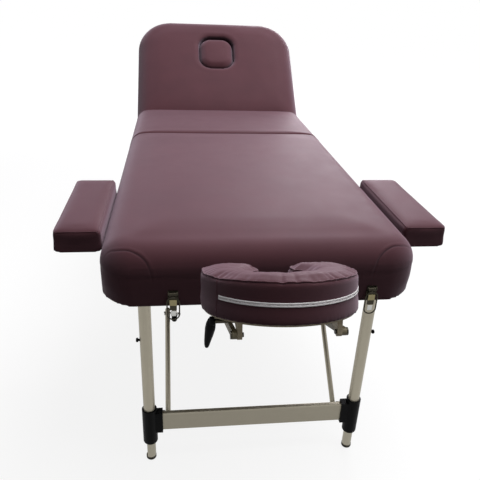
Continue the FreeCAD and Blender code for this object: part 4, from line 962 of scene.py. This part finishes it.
def cradle_trim(pad):
    """Piping, zip and side seam, laid on the finished cushion."""
    surface = tree_of(pad)
    rim = [cradle_point(x, y, RIM_UP - y * CUSHION_TAPER) for x, y in horseshoe(RIM_INSET)]
    path, out = laid(surface, even_path(rim, 0.003, True))
    piping = sweep("cradle_piping", path, out, ring(0.0015, lift=0.0005), True)
    trim(piping, "cradle_head", VINYL)
    turns = np.linspace(ZIP_START, ZIP_END, ZIP_STEPS)
    arc = turn_points(0, CUSHION_R, CUSHION_R, ZIP_START, ZIP_END, ZIP_STEPS)
    ups = ZIP_UP + ZIP_RISE * ((turns - 270) / 90) ** 2
    route = [cradle_point(x, y, up) for (x, y), up in zip(arc, ups)]
    route.append(cradle_point(CUSHION_R, CUSHION_R + ZIP_TAIL, ups[-1]))
    path = laid(surface, even_path(route, ZIP_SPACING))[0]
    path = even_path(path, ZIP_SPACING)
    out = laid(surface, path)[1]
    for _ in range(6):
        out[1:-1] = (out[:-2] + 2 * out[1:-1] + out[2:]) / 4
    tape = sweep("cradle_zip_tape", path, out, ZIP_PROFILE)
    trim(tape, "cradle_head", ZIP_TAPE)
    teeth = zip_teeth("cradle_zip_teeth", even_path(path, TOOTH_PITCH), surface)
    trim(teeth, "cradle_head", ZIP_TEETH)
    x, y = turn_points(0, CUSHION_R, CUSHION_R, SIDE_SEAM_TURN, ZIP_START, 2)[0]
    route = [cradle_point(x, y, up) for up in SIDE_SEAM_UPS]
    path, out = laid(surface, even_path(route, 0.003))
    welt = sweep("cradle_side_seam", path, out, ring(0.0009, sides=8, lift=0.0002))
    trim(welt, "cradle_head", VINYL)


# Armrests
ARM_HOLD = (0.002, 0.02)
ARM_ROUND = 0.020
ARM_TIGHT = 0.009
ARM_SWELL = 0.005
ARM_LIP = 0.0075
ARM_LIP_BAND = (0.003, 0.0075)
ARM_RELAX = 2
SEAM_ROUND = ARM_TIGHT + 0.002
SEAM_INSET = 0.0025
SEAM_DOWN = 0.0048
SEAM_SPACING = 0.004


def armrest(side):
    node = "armrest_pad_" + side
    pad = shell(node, "armrest_cushion_" + side, SMALL_VOXEL)
    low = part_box(node)[0]
    free = step(points_of(pad)[:, 2], low.z + ARM_HOLD[0], low.z + ARM_HOLD[1])
    return Cushion(pad, free, cap=0.0035, inset=0.0015, taut=6, rounds=3)


def tightened(over):
    """How far a rounded corner reaches with a smaller radius, along each point's own line."""
    length = np.linalg.norm(over, axis=1) + TINY
    large, small = over.max(axis=1) / length, over.min(axis=1) / length
    inner = ARM_ROUND - ARM_TIGHT
    under = np.maximum((inner * (large + small)) ** 2 - 2 * inner ** 2 + ARM_TIGHT ** 2, 0)
    straight = ARM_ROUND * small <= inner * large
    return np.where(straight, ARM_ROUND / np.maximum(large, 1e-6),
                    inner * (large + small) + np.sqrt(under))


def square_corners(pad, side):
    """Tightens the armrest's corners, lips its cover round the board and swells it inwards."""
    low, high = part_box("armrest_pad_" + side)
    middle, half = (low + high) / 2, (high - low) / 2
    points = points_of(pad)
    away = points[:, :2] - np.array(middle)[:2]
    over = np.maximum(np.abs(away) - (np.array(half)[:2] - ARM_ROUND), 0)
    corner = (over.min(axis=1) > 0)[:, None]
    rim = 1 - step((np.array(half)[:2] - np.abs(away)).min(axis=1), *ARM_LIP_BAND)
    points[:, 2] -= ARM_LIP * rim * (1 - step(points[:, 2], low.z, low.z + LIP_RISE))
    longer = (tightened(over) / ARM_ROUND - 1)[:, None]
    points[:, :2] += np.where(corner, np.sign(away) * over * longer, 0)
    inward = 1 if side == "left" else -1
    points[:, 0] += inward * ARM_SWELL * step(inward * away[:, 0], 0.0, half.x)
    set_points(pad, points)


def armrest_seam(pad, side):
    """The sewn edge round the armrest's top."""
    low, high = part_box("armrest_pad_" + side)
    middle, half = (low + high) / 2, (high - low) / 2
    points = []
    for sx, sy, start in ((1, -1, 270), (1, 1, 0), (-1, 1, 90), (-1, -1, 180)):
        points += turn_points(middle.x + sx * (half.x - SEAM_ROUND),
                              middle.y + sy * (half.y - SEAM_ROUND),
                              SEAM_ROUND - SEAM_INSET, start, start + 90, 6)
    top = high.z - SEAM_DOWN
    route = even_path([(x, y, top) for x, y in points], SEAM_SPACING, True)
    path, out = laid(tree_of(pad), route)
    seam = sweep("armrest_seam_" + side, path, out, ring(0.0011, sides=8, lift=0.0004), True)
    trim(seam, "armrest_" + side, VINYL)


def build_soft():
    """Every cushion and what is sewn to it."""
    rows = table_pads()
    foot, strip, back = [row.obj for row in rows]
    small = [face_plug(), cradle_cushion()]
    plug_pad, cradle = [row.obj for row in small]
    arms = {side: armrest(side) for side in SIDES}
    small += arms.values()
    rows += small
    inflate(rows)
    for row in rows:
        relax(row.obj, row.free, row.rounds)
    for side, row in arms.items():
        square_corners(row.obj, side)
        relax(row.obj, row.free, ARM_RELAX)
    tuck_corners(foot)
    for row in small:
        subdivide(row.obj)
    crown_backrest(back)
    sink_face_hole(back, plug_pad)
    for seed, pad in enumerate((foot, strip)):
        ripple_top(pad, seed)
    corner_seams(foot)
    round_cradle(cradle)
    pucker_cradle(cradle)
    soft(foot, "foot_half", "foot_pad")
    soft(strip, "head_half", "mid_pad")
    soft(back, "backrest", "backrest_pad")
    soft(plug_pad, "face_plug", "face_plug")
    soft(cradle, "cradle_head", "cradle_cushion")
    cradle_trim(cradle)
    for side, row in arms.items():
        armrest_seam(row.obj, side)
        soft(row.obj, "armrest_" + side, "armrest_pad_" + side)


# Small fittings
PLATE_CELLS = 6
PLATE_DOME = 0.3
LATCH_FACE = 3 * MM
GRIP_OUT, GRIP_DOWN, GRIP_EDGE = 2 * MM, 23.5 * MM, 1.2 * MM
GRIP_SIZE = (16 * MM, 3 * MM, 15 * MM)
TONGUE_OUT, TONGUE_UP, TONGUE_EDGE = 1 * MM, 15.5 * MM, 0.8 * MM
TONGUE_SIZE = (11 * MM, 2 * MM, 13 * MM)


def plate(name, middle, size, edge):
    """A small plate with soft edges and a low dome on its front."""
    width, depth, height = size
    shape = bmesh.new()
    bmesh.ops.create_grid(shape, x_segments=PLATE_CELLS, y_segments=PLATE_CELLS, size=0.5)
    for vert in shape.verts:
        dome = (1 - (2 * vert.co.x) ** 2) * (1 - (2 * vert.co.y) ** 2)
        vert.co = Vector((vert.co.x * width, -depth * PLATE_DOME * dome, vert.co.y * height))
    back = bmesh.ops.extrude_face_region(shape, geom=list(shape.faces))["geom"]
    for vert in (v for v in back if isinstance(v, bmesh.types.BMVert)):
        vert.co.y = depth
    bmesh.ops.recalc_face_normals(shape, faces=shape.faces)
    mesh = bpy.data.meshes.new(name)
    shape.to_mesh(mesh)
    shape.free()
    obj = new_object(name, mesh)
    soften = obj.modifiers.new("soften", "BEVEL")
    soften.width = edge
    soften.segments = 3
    apply_modifiers(obj)
    set_points(obj, points_of(obj) + np.array(middle))
    smooth_shade(obj)
    return obj


def latch_fronts():
    """The plated grip and the bright tongue on each latch."""
    for side in SIDES:
        low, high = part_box("latch_" + side)
        x = (low.x + high.x) / 2
        face = low.y + LATCH_FACE
        grip = plate("latch_grip_" + side, (x, face - GRIP_OUT, high.z - GRIP_DOWN),
                     GRIP_SIZE, GRIP_EDGE)
        trim(grip, "latch_" + side, BRASS)
        tongue = plate("latch_tongue_" + side, (x, face - TONGUE_OUT, low.z + TONGUE_UP),
                       TONGUE_SIZE, TONGUE_EDGE)
        trim(tongue, "latch_" + side, STEEL)


BRACE_R = 0.0065
# The radii, places and routes of caps, nuts, hub and horn are in millimetres
CAP_RADII = np.array((6.8, 7.4, 7.5, 7.5, 7.3, 6.6, 5.2, 3.0, 0.4))
CAP_PLACES = (-7, -6, -4, 2, 5, 7.5, 9.5, 10.8, 11.2)
NUT_RADII = np.array((2.6, 4.4, 4.4, 3.4, 1.6))
NUT_PLACES = (7.0, 7.6, 11.5, 15.0, 17.0)
ELBOW_BACK = 10


def elbow_fittings():
    """End caps on the upper braces and a tapered nut on each elbow bolt."""
    for end, away in (("foot", -1), ("head", 1)):
        low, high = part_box(end + "_upper_braces")
        top = np.array(JOINTS[end + "_upper_brace_fold"]["pos_m"])
        tail = np.array([0, low.y if away < 0 else high.y, low.z])
        heading = (tail - top) * (0, 1, 1)
        heading /= np.linalg.norm(heading)
        tail[1] -= away * BRACE_R * abs(heading[2])
        tail[2] += BRACE_R * abs(heading[1])
        elbow = tail - heading * ELBOW_BACK * MM
        for name, side in zip(SIDES, (-1, 1)):
            x = side * (high.x - BRACE_R)
            path = np.array([tail + heading * place * MM for place in CAP_PLACES]) + (x, 0, 0)
            out = np.tile((1.0, 0, 0), (len(path), 1))
            cap = sweep("%s_brace_cap_%s" % (end, name), path, out, ring(MM, sides=20),
                        sizes=CAP_RADII)
            trim(cap, end + "_upper_brace", PLASTIC)
            path = np.array([elbow + (x - side * place * MM, 0, 0) for place in NUT_PLACES])
            out = np.tile((0, 0, 1.0), (len(path), 1))
            nut = sweep("%s_elbow_nut_%s" % (end, name), path, out, ring(MM, sides=12),
                        sizes=NUT_RADII)
            trim(nut, end + "_lower_brace", STEEL)


HUB_R = 6.5
HUB_INWARD = 5
HUB_STEPS = 32
HUB_PROFILE = [(u * MM, h * MM) for u, h in (
    (-4.6, -2.2), (4.6, -2.2), (4.6, 0.6), (4, 1.6), (2.6, 2.2), (-2.6, 2.2), (-4, 1.6),
    (-4.6, 0.6))]
HORN_ROUTE = ((-1, 4), (-2, -5), (-3, -14), (-5, -27), (-7.2, -40), (-8.4, -50), (-8.7, -54),
              (-8.8, -55.6))
HORN_RADII = (6.0, 8.6, 9.2, 7.8, 6.0, 4.5, 3.0, 0.8)
HORN_SPACING = 0.0016


def clamp_lever():
    """The clamp's black lever: a hub on the bolt and a tusk that tapers outwards."""
    pivot = np.array(JOINTS["cradle_lever_swing"]["pos_m"])
    pivot[0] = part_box("cradle_lever")[1].x - HUB_INWARD * MM
    turns = np.linspace(0, 2 * math.pi, HUB_STEPS, endpoint=False)
    out = np.stack([0 * turns, np.cos(turns), np.sin(turns)], axis=1)
    hub = sweep("lever_hub", pivot + out * HUB_R * MM, out, HUB_PROFILE, True)
    trim(hub, "cradle_lever", PLASTIC)
    knots = np.array([(x, 0, z) for x, z in HORN_ROUTE]) * MM
    path = even_path(pivot + knots, HORN_SPACING)
    sizes = np.interp(path[:, 2], (pivot[2] + knots[:, 2])[::-1], HORN_RADII[::-1])
    out = np.tile((0, 1.0, 0), (len(path), 1))
    horn = sweep("lever_horn", path, out, ring(MM, sides=18), sizes=sizes)
    trim(horn, "cradle_lever", PLASTIC)
    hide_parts("cradle_lever")


# Studio
PICTURE_PX = 480
FOCAL_PX = 526.217
SENSOR = 36.0
CAMERA_AT = (-0.18, -0.951, 1.104)
CAMERA_ANGLES = (7.357, 25.943, 2.406)
AMBIENT = 0.08
FLOOR_REACH = 30.0
FLOOR_SHADE = 0.14
FLOOR_SPECKLE = 0.98
FLOOR_GLOW = 0.87
FAR_GLOW = 0.99
GLOW_FROM, GLOW_TO = 1.6, 4.2
WHITE = (1, 1, 1)
COOL = (0.97, 0.95, 1.0)
# Name, place, target, size, power and colour
LAMPS = (("overhead", (0.75, -0.4, 3.3), (0.1, -0.25, 0.6), (2.2, 2.2), 76, WHITE),
         ("overhead_far", (1.1, 1.0, 3.0), (0.15, 0.75, 0.7), (1.6, 1.6), 48, COOL),
         ("behind_right", (1.7, 4.4, 2.3), (0.1, 0.0, 0.6), (2.0, 2.8), 138, COOL))


def camera():
    data = bpy.data.cameras.new("camera")
    data.sensor_width = SENSOR
    data.lens = FOCAL_PX * SENSOR / PICTURE_PX
    yaw, pitch, roll = (math.radians(a) for a in CAMERA_ANGLES)
    level = Vector((math.sin(yaw), math.cos(yaw), 0))
    right = Vector((math.cos(yaw), -math.sin(yaw), 0))
    up = level * math.sin(pitch) + Vector((0, 0, 1)) * math.cos(pitch)
    ahead = level * math.cos(pitch) - Vector((0, 0, 1)) * math.sin(pitch)
    x_axis = right * math.cos(roll) + up * math.sin(roll)
    y_axis = up * math.cos(roll) - right * math.sin(roll)
    obj = new_object("camera", data)
    turn = Matrix((x_axis, y_axis, -ahead)).transposed().to_4x4()
    obj.matrix_world = Matrix.Translation(station(*CAMERA_AT)) @ turn
    bpy.context.scene.camera = obj


def seen_white(tree):
    """1 for rays that show the background itself: camera, mirror and glass rays."""
    path = put(tree, "LightPath").outputs
    first = math_node(tree, "MAXIMUM", path["Is Camera Ray"], path["Is Glossy Ray"])
    return math_node(tree, "MAXIMUM", first, path["Is Transmission Ray"])


def lamp(name, place, target, size, power, colour):
    data = bpy.data.lights.new(name, "AREA")
    data.shape = "RECTANGLE"
    data.size, data.size_y = size
    data.energy = power
    data.color = colour
    obj = new_object(name, data)
    aim = (Vector(target) - Vector(place)).to_track_quat("-Z", "Y")
    obj.matrix_world = Matrix.Translation(place) @ aim.to_matrix().to_4x4()


def backdrop():
    """A world that shows white and gives little light."""
    world = bpy.data.worlds.new("studio")
    bpy.context.scene.world = world
    world.use_nodes = True
    tree = world.node_tree
    tree.nodes.clear()
    strength = ramp(tree, seen_white(tree), AMBIENT, 1.0, start=0.0, end=1.0)
    background = put(tree, "Background", {"Color": (*WHITE, 1), "Strength": strength})
    tree.links.new(background.outputs[0], put(tree, "OutputWorld").inputs[0])


def pale_floor():
    """The floor takes soft shadows and glows up to white further out."""
    corners = [(x * FLOOR_REACH, y * FLOOR_REACH, 0) for x, y in BOX_CORNERS]
    floor = built("floor", corners, [(0, 1, 2, 3)])
    material, tree, shader = graph("pale_floor")
    speckle = noise(tree, coords(tree), scale=40.0, detail=4.0)
    shade = ramp(tree, speckle, [FLOOR_SHADE * FLOOR_SPECKLE] * 3, [FLOOR_SHADE] * 3)
    place = put(tree, "TexCoord").outputs["Object"]
    away = put(tree, "VectorMath", {0: place}, operation="LENGTH").outputs["Value"]
    glow = put(tree, "MapRange", {"Value": away, "From Min": GLOW_FROM, "From Max": GLOW_TO,
                                  "To Min": FLOOR_GLOW, "To Max": FAR_GLOW},
               interpolation_type="SMOOTHSTEP").outputs[0]
    glow = product(tree, seen_white(tree), glow)
    set_inputs(tree, shader, {"Base Color": shade, "Roughness": 0.9, "Specular IOR Level": 0.0,
                              "Emission Color": (*WHITE, 1), "Emission Strength": glow})
    wear(floor, material)


bpy.context.scene.view_settings.view_transform = "Standard"
dress_nodes()
build_soft()
latch_fronts()
elbow_fittings()
clamp_lever()
camera()
backdrop()
pale_floor()
for row in LAMPS:
    lamp(*row)
